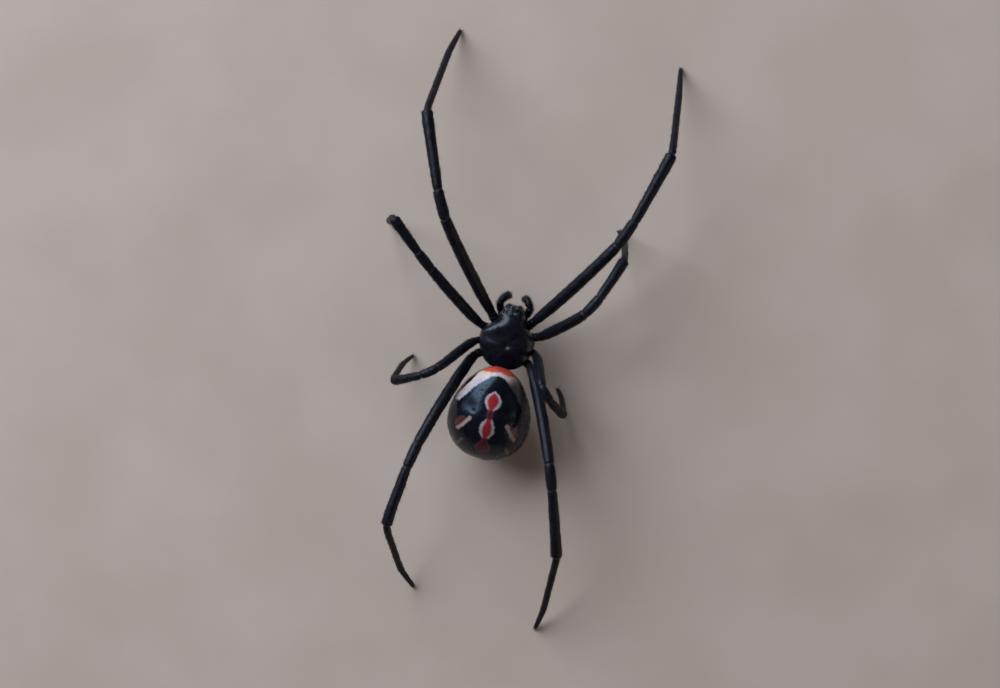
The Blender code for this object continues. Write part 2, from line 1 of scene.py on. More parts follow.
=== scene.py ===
# %% [markdown]
# This lesson dresses a life-size museum model of a young black widow spider, about 34 mm from foot
# to foot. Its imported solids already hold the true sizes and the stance. They could be drawn again
# here by eye, but loading them as a fixed frame keeps every finished piece exactly in its place.

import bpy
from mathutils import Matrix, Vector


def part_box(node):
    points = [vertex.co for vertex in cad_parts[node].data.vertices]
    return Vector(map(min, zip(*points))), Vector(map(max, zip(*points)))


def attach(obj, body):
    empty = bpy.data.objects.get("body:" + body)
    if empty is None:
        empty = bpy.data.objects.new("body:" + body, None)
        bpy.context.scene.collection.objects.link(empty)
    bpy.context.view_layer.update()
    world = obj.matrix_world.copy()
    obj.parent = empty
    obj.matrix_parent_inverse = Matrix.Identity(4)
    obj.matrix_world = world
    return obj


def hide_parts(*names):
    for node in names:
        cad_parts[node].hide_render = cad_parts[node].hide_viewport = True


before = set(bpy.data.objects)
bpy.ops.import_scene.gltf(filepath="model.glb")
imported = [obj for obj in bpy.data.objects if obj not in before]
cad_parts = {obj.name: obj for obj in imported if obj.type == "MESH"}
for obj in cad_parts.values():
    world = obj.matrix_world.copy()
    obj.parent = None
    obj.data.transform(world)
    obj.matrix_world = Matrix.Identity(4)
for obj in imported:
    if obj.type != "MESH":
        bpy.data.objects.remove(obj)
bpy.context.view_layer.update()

# %% [markdown]
# A spider is measured in millimetres from its own middle, so the lesson works in body space: the
# first number runs to the spider's left, the second to its back end, the third up from the floor.
# Writing every point in metres of the room would work too, but nobody could read the sizes.

# %% Body space, in millimetres from the middle of the carapace
import math

import bpy
import numpy as np
from mathutils import Matrix, Vector

MM = 0.001
SIDES = {"left": 1, "right": -1}
UP = np.array([0.0, 0.0, 1.0])
SIDEWAYS = np.array([1.0, 0.0, 0.0])
carapace_low, carapace_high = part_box("carapace")
BODY_MIDDLE = np.array([(carapace_low.x + carapace_high.x) / 2, (carapace_low.y + carapace_high.y) / 2, 0.0])


def at(left, forward, height):
    """Points in body space; each value may be one number or an array."""
    return np.stack(np.broadcast_arrays(left, -np.asarray(forward), height), axis=-1).astype(float)


def in_body_space(corners):
    """The lowest and the highest corner of a solid's box, from metres of the room."""
    return [(np.array(corner) - BODY_MIDDLE) / MM for corner in corners]


def unit(vectors):
    length = np.linalg.norm(vectors, axis=-1, keepdims=True)
    return vectors / np.maximum(length, 1e-12)


print("the body's middle is at", BODY_MIDDLE.round(5).tolist())

# %% [markdown]
# Nothing on an animal starts or stops abruptly. A plate's edge, a groove or a change of width all
# rise and fall softly, so a few small curves describe them. Drawing each curve by hand in Blender
# would work too, but a formula with a named reach can be read and changed.


# %% Soft curves
def smooth_step(value):
    share = np.clip(value, 0.0, 1.0)
    return share * share * (3 - 2 * share)


def ramp(value, start, reach):
    """0 up to the start, then a soft rise to 1 over the reach."""
    return smooth_step((value - start) / reach)


def roundness(share, power):
    """1 in the middle and 0 at both ends: an ellipse at a power of 1, blunter below it."""
    return np.maximum(0.0, 1 - np.square(share)) ** (power / 2)


def bell(distance, reach):
    return np.exp(-np.square(distance / reach))


print("a soft ramp, a quarter of the way up:", round(float(ramp(0.25, 0.0, 1.0)), 3))

# %% [markdown]
# Shell plates, legs and feelers are all closed tubes of some kind, so one grid of rings can make
# each of them. Sculpting would give the same forms once, but a grid follows named sizes and can be
# as fine as the surface needs.


# %% Grids of rings
def full_turn(count):
    """Angles all the way round, the last a step before the first."""
    return np.linspace(0, 2 * math.pi, count, endpoint=False)


def globe_rows(count, inset):
    """A column of shares from 1 at the front to -1 at the rear, closest together at the ends."""
    return np.cos(np.linspace(inset, math.pi - inset, count))[:, None]


def ring_normals(grid):
    """The outward normal at each point of a grid whose rows are closed rings."""
    around = np.roll(grid, -1, axis=1) - np.roll(grid, 1, axis=1)
    normals = unit(np.cross(around, np.gradient(grid, axis=0)))
    outward = grid - grid.mean(axis=1, keepdims=True)
    return normals if (normals * outward).sum() > 0 else -normals


def raised(grid, relief):
    """The grid moved along its outward normals by a height for each point."""
    return grid + ring_normals(grid) * relief[..., None]


def ring_faces(rows, columns):
    """Quads between the rings, and a fan of triangles over each end, as two arrays."""
    row, column = np.meshgrid(np.arange(rows - 1), np.arange(columns), indexing="ij")
    here = row * columns + column
    beside = row * columns + (column + 1) % columns
    quads = np.stack([here, beside, beside + columns, here + columns], axis=-1).reshape(-1, 4)
    ring = np.arange(columns)
    turned = (ring + 1) % columns
    last_row = (rows - 1) * columns
    start = np.stack([np.full(columns, rows * columns), turned, ring], axis=-1)
    end = np.stack([np.full(columns, rows * columns + 1), ring + last_row, turned + last_row], axis=-1)
    return quads, np.concatenate([start, end])


def with_ends(grid):
    """The grid's points in one list, followed by the middles of its two end rings."""
    return np.concatenate([grid.reshape(-1, 3), [grid[0].mean(axis=0), grid[-1].mean(axis=0)]])


def facing_out(points, faces):
    """The groups of faces, all turned round if the volume inside them comes out negative."""
    volume = 0.0
    for group in faces:
        for second in range(1, group.shape[1] - 1):
            a, b, c = points[group[:, 0]], points[group[:, second]], points[group[:, second + 1]]
            volume += (a * np.cross(b, c)).sum()
    return [group[:, ::-1] for group in faces] if volume < 0 else list(faces)


print("three rings of four points have", sum(len(group) for group in ring_faces(3, 4)), "faces")

# %% [markdown]
# A grid becomes a part of the spider once it is a mesh with a finish, rides on the body and hides
# the solids it stands for. Each piece could do that for itself, but then one would be forgotten
# sooner or later, so every piece is made by the same helper.


# %% Pieces from grids
def add_piece(name, points, faces, finish, replaced=()):
    """A smooth piece from body-space points, which rides on the spider and faces outwards."""
    rows = [face for group in facing_out(points, faces) for face in group.tolist()]
    mesh = bpy.data.meshes.new(name)
    mesh.from_pydata((BODY_MIDDLE + points * MM).tolist(), [], rows)
    mesh.shade_smooth()
    mesh.materials.append(finish)
    piece = bpy.data.objects.new(name, mesh)
    bpy.context.scene.collection.objects.link(piece)
    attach(piece, "root")
    if replaced:
        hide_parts(*replaced)
    return piece


def add_skin(name, grids, finish, replaced=()):
    """A piece from one or more grids of rings, each of them a closed surface."""
    points, faces, first = [], [], 0
    for grid in grids:
        loft = with_ends(grid)
        faces += [group + first for group in facing_out(loft, ring_faces(*grid.shape[:2]))]
        points.append(loft)
        first += len(loft)
    return add_piece(name, np.concatenate(points), faces, finish, replaced)


def spread_over(numbers, columns):
    """One number for each ring, repeated for the points of a grid with its two ends."""
    return np.concatenate([np.repeat(numbers, columns), [numbers[0], numbers[-1]]])


def set_values(piece, values):
    """Named numbers on the piece's vertices, which its finish reads."""
    for name, numbers in values.items():
        layer = piece.data.attributes.new(name, "FLOAT", "POINT")
        layer.data.foreach_set("value", np.asarray(numbers, dtype=np.float32))


print("pieces stand on the body's middle, scaled by", MM)

# %% [markdown]
# Natural shell is never quite even. Random numbers for each point would give dust, so the small
# unevenness is a sum of a few slow waves in fixed random directions, the same on every run.


# %% Slow waves
def ripples(points, wavelength, seed, waves=7):
    """A smooth random value between about -1 and 1 at each point."""
    draw = np.random.default_rng(seed)
    total = np.zeros(points.shape[:-1])
    for _ in range(waves):
        direction = unit(draw.normal(size=3))
        turns = draw.uniform(0.7, 1.4) / wavelength
        total += np.sin((points @ direction) * turns * 2 * math.pi + draw.uniform(0, 2 * math.pi))
    return total / math.sqrt(waves)


def uneven(points, kinds):
    """The sum of several ripples, each as (height, wavelength, seed)."""
    return sum(height * ripples(points, wavelength, seed) for height, wavelength, seed in kinds)


print("waves at one point:", round(float(uneven(np.zeros((1, 3)), [(1.0, 1.0, 1)])[0]), 3))

# %% [markdown]
# Every finish here is shell: black, hard and shiny, with a grain so fine that it only softens the
# light. Photographs could be wrapped round the pieces, but procedural nodes stay sharp at any
# distance. A helper for each kind of node keeps the finishes short.


# %% Nodes of a finish
def new_finish(name, roughness, coat=0.0, coat_roughness=0.1, shine=0.5):
    made = bpy.data.materials.new(name)
    made.use_nodes = True
    shader = made.node_tree.nodes["Principled BSDF"]
    shader.inputs["Roughness"].default_value = roughness
    shader.inputs["Metallic"].default_value = 0.0
    shader.inputs["Specular IOR Level"].default_value = shine
    shader.inputs["Coat Weight"].default_value = coat
    shader.inputs["Coat Roughness"].default_value = coat_roughness
    return made, made.node_tree, shader


def add_node(tree, kind, inputs, output=0, **settings):
    """Adds a node, gives its inputs numbers or links, and returns one of its outputs."""
    made = tree.nodes.new(kind)
    for name, value in settings.items():
        setattr(made, name, value)
    for key, value in inputs.items():
        if isinstance(value, bpy.types.NodeSocket):
            tree.links.new(value, made.inputs[key])
        else:
            made.inputs[key].default_value = value
    return made.outputs[output]


def millimetres(tree):
    """The piece's own coordinates, in millimetres."""
    place = add_node(tree, "ShaderNodeTexCoord", {}, output="Object")
    return add_node(tree, "ShaderNodeVectorMath", {0: place, "Scale": 1 / MM}, operation="SCALE")


def noise(tree, place, scale, detail=3.0):
    return add_node(tree, "ShaderNodeTexNoise", {"Vector": place, "Scale": scale, "Detail": detail})


def cells(tree, place, scale):
    return add_node(tree, "ShaderNodeTexVoronoi", {"Vector": place, "Scale": scale})


def stretched(tree, value, low, high, to_low=0.0, to_high=1.0):
    inputs = {"Value": value, "From Min": low, "From Max": high, "To Min": to_low, "To Max": to_high}
    return add_node(tree, "ShaderNodeMapRange", inputs, interpolation_type="SMOOTHSTEP")


def mottled(tree, place, scale, low, high, to_low=0.0, to_high=1.0, detail=3.0):
    """Noise whose values between low and high are stretched to a range of their own."""
    return stretched(tree, noise(tree, place, scale, detail), low, high, to_low, to_high)


print("noise and cells are measured in millimetres")

# %% [markdown]
# Under a lens spider shell shows a fine net of scales, with still finer unevenness inside them. Real
# vertices that small would be millions, and bump does the same to the light. The grain, the colour
# and the wandering roughness always come together, so one helper joins all three to the shader.


# %% Mixing, values and grain
def blended(tree, share, first, second):
    """A colour between two others."""
    inputs = {0: share, 6: first, 7: second}
    return add_node(tree, "ShaderNodeMix", inputs, output=2, data_type="RGBA")


def calculated(tree, operation, first, second):
    return add_node(tree, "ShaderNodeMath", {0: first, 1: second}, operation=operation)


def value_named(tree, name):
    return add_node(tree, "ShaderNodeAttribute", {}, output="Fac", attribute_name=name)


def colour(red, green, blue):
    return (red, green, blue, 1.0)


def grain(tree, shader, place, scale, depth, fine_scale, fine_depth):
    """Two sizes of bump: the cells of the shell and the finer unevenness inside them."""
    coarse = add_node(tree, "ShaderNodeBump", {"Height": cells(tree, place, scale), "Distance": depth * MM})
    fine = {"Height": noise(tree, place, fine_scale), "Distance": fine_depth * MM, "Normal": coarse}
    tree.links.new(add_node(tree, "ShaderNodeBump", fine), shader.inputs["Normal"])


def shell(tree, shader, place, shade, rough_scale, smoothest, roughest, grains):
    """Joins a shell's colour, its wandering roughness and its grain to the shader."""
    tree.links.new(shade, shader.inputs["Base Color"])
    rough = mottled(tree, place, rough_scale, 0.3, 0.75, smoothest, roughest)
    tree.links.new(rough, shader.inputs["Roughness"])
    grain(tree, shader, place, *grains)


print("finish helpers ready, colours such as", colour(0.5, 0.5, 0.5))

# %% [markdown]
# The carapace, jaws and breast plate are black with a slight blue-purple cast and a satin shine.
# One flat black would look like paint, so two blacks are mixed by slow noise and the roughness
# wanders with it.

# %% The carapace's finish
BLACK = colour(0.0034, 0.0030, 0.0062)
WORN_BLACK = colour(0.0090, 0.0075, 0.0135)
BROWN_BLACK = colour(0.0180, 0.0110, 0.0100)
JOINT_BROWN = colour(0.0200, 0.0140, 0.0150)


def carapace_finish():
    made, tree, shader = new_finish("carapace_shell", 0.3, coat=0.05, coat_roughness=0.1, shine=0.3)
    place = millimetres(tree)
    shade = blended(tree, mottled(tree, place, 1.6, 0.35, 0.7, detail=5.0), BLACK, WORN_BLACK)
    shade = blended(tree, mottled(tree, place, 22.0, 0.5, 0.8, 0.0, 0.6), shade, BROWN_BLACK)
    shell(tree, shader, place, shade, 6.0, 0.24, 0.36, (20.0, 0.0015, 60.0, 0.0006))
    return made


SHELL = carapace_finish()
print("made", SHELL.name)

# %% [markdown]
# A leg is the same black shell, a little duller, with soft paler skin showing in the joints. The
# joint's place comes from a number on each vertex, which is cleaner than painting a mask by hand.


# %% Leg finish
def leg_finish():
    made, tree, shader = new_finish("leg_shell", 0.4, shine=0.17)
    place = millimetres(tree)
    shade = blended(tree, mottled(tree, place, 2.2, 0.35, 0.7, detail=5.0), BLACK, WORN_BLACK)
    foot = calculated(tree, "MULTIPLY", value_named(tree, "foot_share"), 0.3)
    shade = blended(tree, foot, shade, BROWN_BLACK)
    joint = stretched(tree, value_named(tree, "joint_skin"), 0.25, 0.95)
    shade = blended(tree, joint, shade, JOINT_BROWN)
    shell(tree, shader, place, shade, 7.0, 0.34, 0.5, (24.0, 0.004, 70.0, 0.0015))
    return made


LEG_SHELL = leg_finish()
print("made", LEG_SHELL.name)

# %% [markdown]
# Smaller parts have finishes of their own: soft wrinkled skin between the plates, red-brown horn
# for the fangs and near-black horn for the claws, dark glassy eyes, dull spinnerets and hairs. They
# differ in a few numbers only, so one function and a table make all six.


# %% Small finishes
def plain_finish(name, dark, light, roughness, scale, depth, coat=0.0, coat_roughness=0.1):
    """Two close colours mixed by noise, with a bump of the same scale."""
    made, tree, shader = new_finish(name, roughness, coat, coat_roughness, 0.35)
    place = millimetres(tree)
    mottle = mottled(tree, place, scale, 0.3, 0.7, detail=4.0)
    tree.links.new(blended(tree, mottle, colour(*dark), colour(*light)), shader.inputs["Base Color"])
    bump = {"Height": noise(tree, place, scale * 4), "Distance": depth * MM}
    tree.links.new(add_node(tree, "ShaderNodeBump", bump), shader.inputs["Normal"])
    return made


# Each as (dark colour, light colour, roughness, scale of the noise, depth of the bump, coat, its roughness)
SMALL_FINISHES = {
    "soft_skin": ((0.012, 0.010, 0.012), (0.030, 0.022, 0.022), 0.55, 9.0, 0.01),
    "fang_horn": ((0.035, 0.008, 0.006), (0.095, 0.022, 0.010), 0.2, 8.0, 0.001, 0.3),
    "claw_horn": ((0.008, 0.006, 0.006), (0.022, 0.012, 0.009), 0.3, 10.0, 0.001),
    "eye_glass": ((0.010, 0.008, 0.011), (0.022, 0.015, 0.014), 0.06, 5.0, 0.0002, 1.0, 0.03),
    "spinneret_shell": ((0.007, 0.005, 0.005), (0.020, 0.013, 0.011), 0.4, 12.0, 0.002),
    "hair_black": ((0.005, 0.004, 0.006), (0.014, 0.010, 0.011), 0.45, 3.0, 0.0005),
}
SOFT_SKIN, FANG_HORN, CLAW_HORN, EYE_GLASS, SPIGOTS, HAIR = (
    plain_finish(name, *values) for name, values in SMALL_FINISHES.items()
)
print("made", list(SMALL_FINISHES))

# %% [markdown]
# The abdomen is a glossy black globe that hangs from the waist. It could start as a sphere that is
# pushed about, but the sizes that shaped its solid give the same globe here, only finer. It lies a
# hair's breadth inside the solid, which leaves room for the coat.

# %% The abdomen's form
ABDOMEN_LOW, ABDOMEN_HIGH = in_body_space(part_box("abdomen"))
ABDOMEN_FRONT = -ABDOMEN_LOW[1]
ABDOMEN_LENGTH = ABDOMEN_HIGH[1] - ABDOMEN_LOW[1]
ABDOMEN_HALF_WIDTH = 2.36
ABDOMEN_RISE = 2.32
ABDOMEN_SINK = 2.28
ABDOMEN_MIDDLE_HEIGHT = 2.66
ABDOMEN_FRONT_LIFT = 1.2
ABDOMEN_REAR_DROP = 0.35
ABDOMEN_SKEW = 0.17
ABDOMEN_MIDDLE = at(0.0, ABDOMEN_FRONT - ABDOMEN_LENGTH / 2, ABDOMEN_MIDDLE_HEIGHT)
COAT_ROOM = 0.992


def abdomen_axis(share):
    lift = ABDOMEN_FRONT_LIFT * np.square(np.maximum(0.0, share))
    return ABDOMEN_MIDDLE_HEIGHT + lift - ABDOMEN_REAR_DROP * np.square(np.maximum(0.0, -share))


def abdomen_form(share, angle):
    """A point of the globe: share runs from the rear (-1) to the front (1), angle from left over the top."""
    ring = roundness(share, 1.0)
    forward = ABDOMEN_FRONT - (1 - share) * ABDOMEN_LENGTH / 2
    outward = ABDOMEN_HALF_WIDTH * ring * (1 - ABDOMEN_SKEW * share) * np.cos(angle)
    half_height = np.where(np.sin(angle) > 0, ABDOMEN_RISE, ABDOMEN_SINK)
    height = abdomen_axis(share) + half_height * ring * np.sin(angle)
    return ABDOMEN_MIDDLE + (at(outward, forward, height) - ABDOMEN_MIDDLE) * COAT_ROOM


def abdomen_top(forward, left):
    """The height of the globe's upper half over a spot on its plan."""
    share = 1 + 2 * (forward - ABDOMEN_FRONT) / ABDOMEN_LENGTH
    ring = roundness(share, 1.0)
    width = np.maximum(ABDOMEN_HALF_WIDTH * ring * (1 - ABDOMEN_SKEW * share), 1e-6)
    return abdomen_axis(share) + ABDOMEN_RISE * ring * roundness(np.minimum(np.abs(left) / width, 1.0), 1.0)


print(f"the abdomen is {ABDOMEN_LENGTH:.2f} mm long, its front at {ABDOMEN_FRONT:.2f} mm")

# %% [markdown]
# Shallow dimples mark where muscles hold the abdomen's back. Below are the furrow that the spider
# lays its eggs through, the smooth covers of the book lungs on each side of it, and the creases
# round the spinnerets. Bump alone would vanish against the light, so they are moved vertices.

# %% The abdomen's relief
ABDOMEN_RINGS = 220
ABDOMEN_AROUND = 240
ABDOMEN_WAVES = ((0.010, 1.3, 11), (0.002, 0.45, 12))
# Where the back's relief gives way to the belly's: the height, and how far the change reaches
BACK_FROM = (2.4, 0.6)
# Dimples on the back, as (forward, outward, reach, depth)
DIMPLES = ((-3.35, 0.78, 0.1, 0.016), (-4.55, 1.0, 0.11, 0.02), (-5.75, 0.82, 0.09, 0.014))
FURROW_FORWARD, FURROW_BEND, FURROW_DEPTH, FURROW_REACH = -3.05, 0.12, 0.05, 0.06
# The raised lip over the middle of the furrow
LIP_AHEAD, LIP_FLATNESS, LIP_REACH = 0.16, 0.8, 0.17
LUNG_SPOT, LUNG_RADIUS, LUNG_RISE = (-2.75, 0.95), 0.42, 0.02
SPINNERET_MIDDLE = at(0.0, -6.42, 0.86)
CREASE_RADIUS, CREASE_REACH, CREASE_STEP, CREASE_DEPTH = 0.75, 0.28, 0.16, 0.012


def abdomen_relief(points):
    left, forward, height = np.abs(points[..., 0]), -points[..., 1], points[..., 2]
    above = ramp(height, *BACK_FROM)
    below = 1 - above
    relief = uneven(points, ABDOMEN_WAVES)
    for spot_forward, spot_left, reach, depth in DIMPLES:
        relief -= depth * above * bell(np.hypot(forward - spot_forward, left - spot_left), reach)
    furrow = forward - FURROW_FORWARD - FURROW_BEND * np.square(left)
    relief -= FURROW_DEPTH * below * bell(furrow, FURROW_REACH) * smooth_step((1.5 - left) / 0.5)
    lip = np.hypot(forward - FURROW_FORWARD - LIP_AHEAD, left * LIP_FLATNESS)
    relief += FURROW_DEPTH * below * bell(lip, LIP_REACH)
    lung = np.hypot((forward - LUNG_SPOT[0]) / 0.8, left - LUNG_SPOT[1])
    relief += LUNG_RISE * below * smooth_step((LUNG_RADIUS - lung) / 0.08)
    away = np.linalg.norm(points - SPINNERET_MIDDLE, axis=-1)
    creases = np.sin(away * 2 * math.pi / CREASE_STEP) * bell(away - CREASE_RADIUS, CREASE_REACH)
    return relief + CREASE_DEPTH * below * creases


abdomen_grid = abdomen_form(globe_rows(ABDOMEN_RINGS, 0.006), full_turn(ABDOMEN_AROUND)[None, :])
abdomen_grid = raised(abdomen_grid, abdomen_relief(abdomen_grid))
print("abdomen grid", abdomen_grid.shape, "lowest point at", abdomen_grid[..., 2].min().round(2), "mm")

# %% [markdown]
# Young black widows keep a pattern that old ones lose: a red and cream band over the front of the
# abdomen, a row of red spots with pale rims down the back, a pale streak on each side, and the red
# hourglass below. Instead of painting it, each vertex stores how deep it lies inside a marking, in
# millimetres, and the finish turns that depth into a crisp edge. The hairs store the same numbers.

# %% The band over the front
BAND_TOP = -1.95
BAND_SLOPE = 1.4
BAND_SHOULDER = 0.6
BAND_SOFTNESS = 0.22
BAND_ENDS = (2.02, -1.95)
BAND_HALF_WIDTH = 0.33
BAND_ARM_HALF_WIDTH = 0.22
BAND_STEPS = 110
# How the band changes outwards, each as (place, reach of the change)
ARM_FROM, RED_FROM, RIGHT_ARM_SHADE_FROM = (0.8, 0.6), (0.42, 0.8), (0.6, 0.48)
RED_EDGE, RED_EDGE_RISE = -0.12, 0.65
# Painted shade darkens the band's right arm, which is otherwise like the left one
RIGHT_ARM_PAINTED_SHADE = 0.88
band_left = np.linspace(*BAND_ENDS, BAND_STEPS)
band_fall = np.log1p(np.exp((np.abs(band_left) - BAND_SHOULDER) / BAND_SOFTNESS))
band_forward = BAND_TOP - BAND_SLOPE * BAND_SOFTNESS * band_fall
BAND_LINE = np.stack([band_forward, band_left], axis=-1)
BAND_ON_SKIN = at(band_left, band_forward, abdomen_top(band_forward, band_left))
# How far the band reaches over the skin, on the front and at the arms
BAND_REACH = 0.75
BAND_ARM_REACH = 0.36
band_run = unit(np.gradient(BAND_LINE, axis=0))
BAND_FRONTWARD = np.stack([np.abs(band_run[:, 1]), np.sign(band_left) * np.abs(band_run[:, 0])], axis=-1)


def band_fields(points):
    """Depth inside the band, depth inside its red front edge, and how bright it is, with painted shade on
    its right arm.
    """
    plan = np.stack([-points[:, 1], points[:, 0]], axis=-1)
    away = np.linalg.norm(plan[:, None, :] - BAND_LINE[None, :, :], axis=2)
    nearest = away.argmin(axis=1)
    left = band_left[nearest]
    arm = ramp(np.abs(left), *ARM_FROM)
    depth = BAND_HALF_WIDTH - (BAND_HALF_WIDTH - BAND_ARM_HALF_WIDTH) * arm - away.min(axis=1)
    over_skin = np.linalg.norm(points - BAND_ON_SKIN[nearest], axis=1)
    depth = np.minimum(depth, BAND_REACH - (BAND_REACH - BAND_ARM_REACH) * arm - over_skin)
    frontward = ((plan - BAND_LINE[nearest]) * BAND_FRONTWARD[nearest]).sum(axis=1)
    red_edge = RED_EDGE + RED_EDGE_RISE * ramp(np.abs(left), *RED_FROM)
    return depth, np.minimum(depth, frontward - red_edge), 1 - RIGHT_ARM_PAINTED_SHADE * ramp(-left, *RIGHT_ARM_SHADE_FROM)


print("the band runs from", BAND_LINE[0].round(2).tolist(), "to", BAND_LINE[-1].round(2).tolist())

# %% [markdown]
# The spots of the back are teardrops on the midline. Each is described by how wide it is along the
# body, which is easier to fit to the animal than an outline of many points. The streaks on the
# sides are short rounded bars, and the hourglass is two triangles whose points meet.

# %% Spots, streaks and hourglass
# Spots as (widest place, reach to the front, reach to the rear, half width, rim width, brightness)
BACK_SPOTS = (
    (-3.76, 0.58, 0.68, 0.47, 0.16, 0.85),
    (-5.44, 0.80, 0.62, 0.43, 0.15, 0.75),
    (-6.50, 0.46, 0.42, 0.42, 0.02, 0.24),
)
SPOT_FULLNESS = 2.1
# The dull red line between the spots, as (front, rear, half width)
NECK = (-4.2, -6.5, 0.15)
NECK_BRIGHTNESS = 0.25
# Streaks as (start, end, half width, brightness) on the plan, each point as (forward, outward)
PALE_STREAK = ((-5.00, 1.10), (-5.66, 1.62), 0.12, 0.55)
FAINT_STREAK = ((-6.30, 1.32), (-6.52, 1.46), 0.10, 0.15)
RED_STREAK = ((-5.12, 1.48), (-5.38, 1.70), 0.16, 0.20)
# The red stops where the pale streak is this deep
RED_STREAK_STOP = 0.14
# The hourglass as (forward, half width), from its front end over its waist to its rear end
HOURGLASS = ((-4.05, 0.46), (-4.78, 0.07), (-5.42, 0.42))
HOURGLASS_ENDS = 0.10


def streak_depth(forward, left, streak):
    start, end, half_width = np.array(streak[0]), np.array(streak[1]), streak[2]
    spot = np.stack([forward, left], axis=-1)
    share = np.clip(((spot - start) @ (end - start)) / ((end - start) @ (end - start)), 0.0, 1.0)
    return half_width - np.linalg.norm(spot - start - share[..., None] * (end - start), axis=-1)


def hourglass_depth(forward, left):
    """The depth inside the hourglass, whose half width runs straight from mark to mark."""
    places, widths = zip(*HOURGLASS)
    width = np.interp(-forward, [-place for place in places], widths)
    inside = np.minimum(places[0] + HOURGLASS_ENDS - forward, forward - places[-1] + HOURGLASS_ENDS)
    return np.minimum(width - left, inside)


print("back spots at", [spot[0] for spot in BACK_SPOTS], "mm from the body's middle")

# %% [markdown]
# On the living spider the pale and the red pigment lie under one clear skin. An artist would paint
# one mark over the other; here each point keeps the largest depth, and with it the brightness and
# the warmth of the mark that it belongs to.

# %% All the markings together
# Warmth is 0 for crimson and bluish white, 1 for orange and cream; on the band it falls at the midline
BAND_WARMTH, BAND_WARMTH_LOSS, SPOT_WARMTH, STREAK_WARMTH, HOURGLASS_WARMTH = 0.75, 0.5, 0.12, 0.7, 0.35
MIDLINE_REACH = 0.35
UNMARKED, NEAR_BAND, NEAR_HOURGLASS = -1.0, -0.5, -0.2
# The belly starts this far below the abdomen's axis
BELLY = -0.5


def markings(points):
    """The values that the finishes of skin and coat read, in millimetres of depth or as shares."""
    left, forward, height = points[:, 0], -points[:, 1], points[:, 2]
    outward = np.abs(left)
    above = height - abdomen_axis(1 + 2 * (forward - ABDOMEN_FRONT) / ABDOMEN_LENGTH)
    # The band's brightness carries painted shade on its right arm
    pale, red, brightness = band_fields(points)
    on_band = BAND_WARMTH - BAND_WARMTH_LOSS * bell(left, MIDLINE_REACH)
    warmth = np.where(red > NEAR_BAND, on_band, 0.0)
    for middle, front, rear, half_width, rim, shine in BACK_SPOTS:
        reach = np.where(forward > middle, front, rear)
        depth = half_width * (1 - np.abs((forward - middle) / reach) ** SPOT_FULLNESS) - outward
        nearer = depth > pale
        brightness = np.where(nearer, shine, brightness)
        warmth = np.where(nearer, SPOT_WARMTH, warmth)
        pale = np.maximum(pale, depth)
        red = np.maximum(red, depth - rim)
    neck = np.minimum(np.minimum(NECK[0] - forward, forward - NECK[1]), NECK[2] - outward)
    neck = np.where(above > 0, neck, UNMARKED)
    brightness = np.where(neck > np.maximum(pale, red), NECK_BRIGHTNESS, brightness)
    red = np.maximum(red, neck)
    for streak in (PALE_STREAK, FAINT_STREAK):
        depth = streak_depth(forward, outward, streak)
        brightness = np.where(depth > pale, streak[3], brightness)
        pale = np.maximum(pale, depth)
    side_red = RED_STREAK_STOP - streak_depth(forward, outward, PALE_STREAK)
    side_red = np.minimum(streak_depth(forward, outward, RED_STREAK), side_red)
    brightness = np.where(side_red > np.maximum(red, pale), RED_STREAK[3], brightness)
    warmth = np.where(side_red > red, STREAK_WARMTH, warmth)
    red = np.maximum(red, side_red)
    pale, red = (np.where(above > 0, field, UNMARKED) for field in (pale, red))
    glass = np.where(above < BELLY, hourglass_depth(forward, outward), UNMARKED)
    brightness = np.where(glass > NEAR_HOURGLASS, 1.0, brightness)
    warmth = np.where(glass > NEAR_HOURGLASS, HOURGLASS_WARMTH, warmth)
    values = {
        "pale_depth": pale, "red_depth": np.maximum(red, glass),
        "marking_warmth": warmth, "marking_brightness_and_shade": brightness,
    }
    return {name: np.clip(field, UNMARKED, 1.0) for name, field in values.items()}


abdomen_values = markings(with_ends(abdomen_grid))
print("share of the skin that is marked:", float((abdomen_values["pale_depth"] > 0).mean().round(3)))

# %% [markdown]
# The marking's finish reads those depths. A little noise is added before the edge is cut, as real
# pigment ends in fine grains, and pale and red are laid over the black below one glossy surface.


# %% Finishes that carry the markings
# How far the noise moves an edge, and from which to which depth a marking fades in
EDGE_WOBBLE = 0.035
MARKING_EDGES = {"pale": (-0.06, 0.07), "red": (-0.07, 0.08)}
# Each as (cool, warm)
PALE_COLOURS = (colour(0.62, 0.50, 0.52), colour(0.80, 0.54, 0.42))
RED_COLOURS = (colour(0.44, 0.014, 0.026), colour(0.72, 0.12, 0.040))


def marked_shade(tree, place, ground):
    """The ground colour with the pale and the red markings laid over it."""
    wobble = mottled(tree, place, 5.0, 0.2, 0.8, -EDGE_WOBBLE, EDGE_WOBBLE, detail=4.0)
    shown = {}
    for name, (low, high) in MARKING_EDGES.items():
        depth = calculated(tree, "ADD", value_named(tree, f"{name}_depth"), wobble)
        shown[name] = stretched(tree, depth, low, high)
    warmth = value_named(tree, "marking_warmth")
    pale, red = (blended(tree, warmth, cool, warm) for cool, warm in (PALE_COLOURS, RED_COLOURS))
    grains = stretched(tree, cells(tree, place, 16.0), 0.1, 0.75, 1.0, 0.75)
    cover = calculated(tree, "MAXIMUM", shown["pale"], shown["red"])
    # The brightness holds the marks' own dullness and the painted shade on the band's right arm
    cover = calculated(tree, "MULTIPLY", cover, value_named(tree, "marking_brightness_and_shade"))
    cover = calculated(tree, "MULTIPLY", cover, grains)
    return blended(tree, cover, ground, blended(tree, shown["red"], pale, red))


print("markings fade in over", MARKING_EDGES, "mm of depth")

# %% [markdown]
# The markings have to stay as bright as in the photo although hairs lie over them. Black hairs
# would dim them, and hairs coloured by hand would miss the edges, so the skin and its hairs get the
# same markings, over two slightly different blacks.


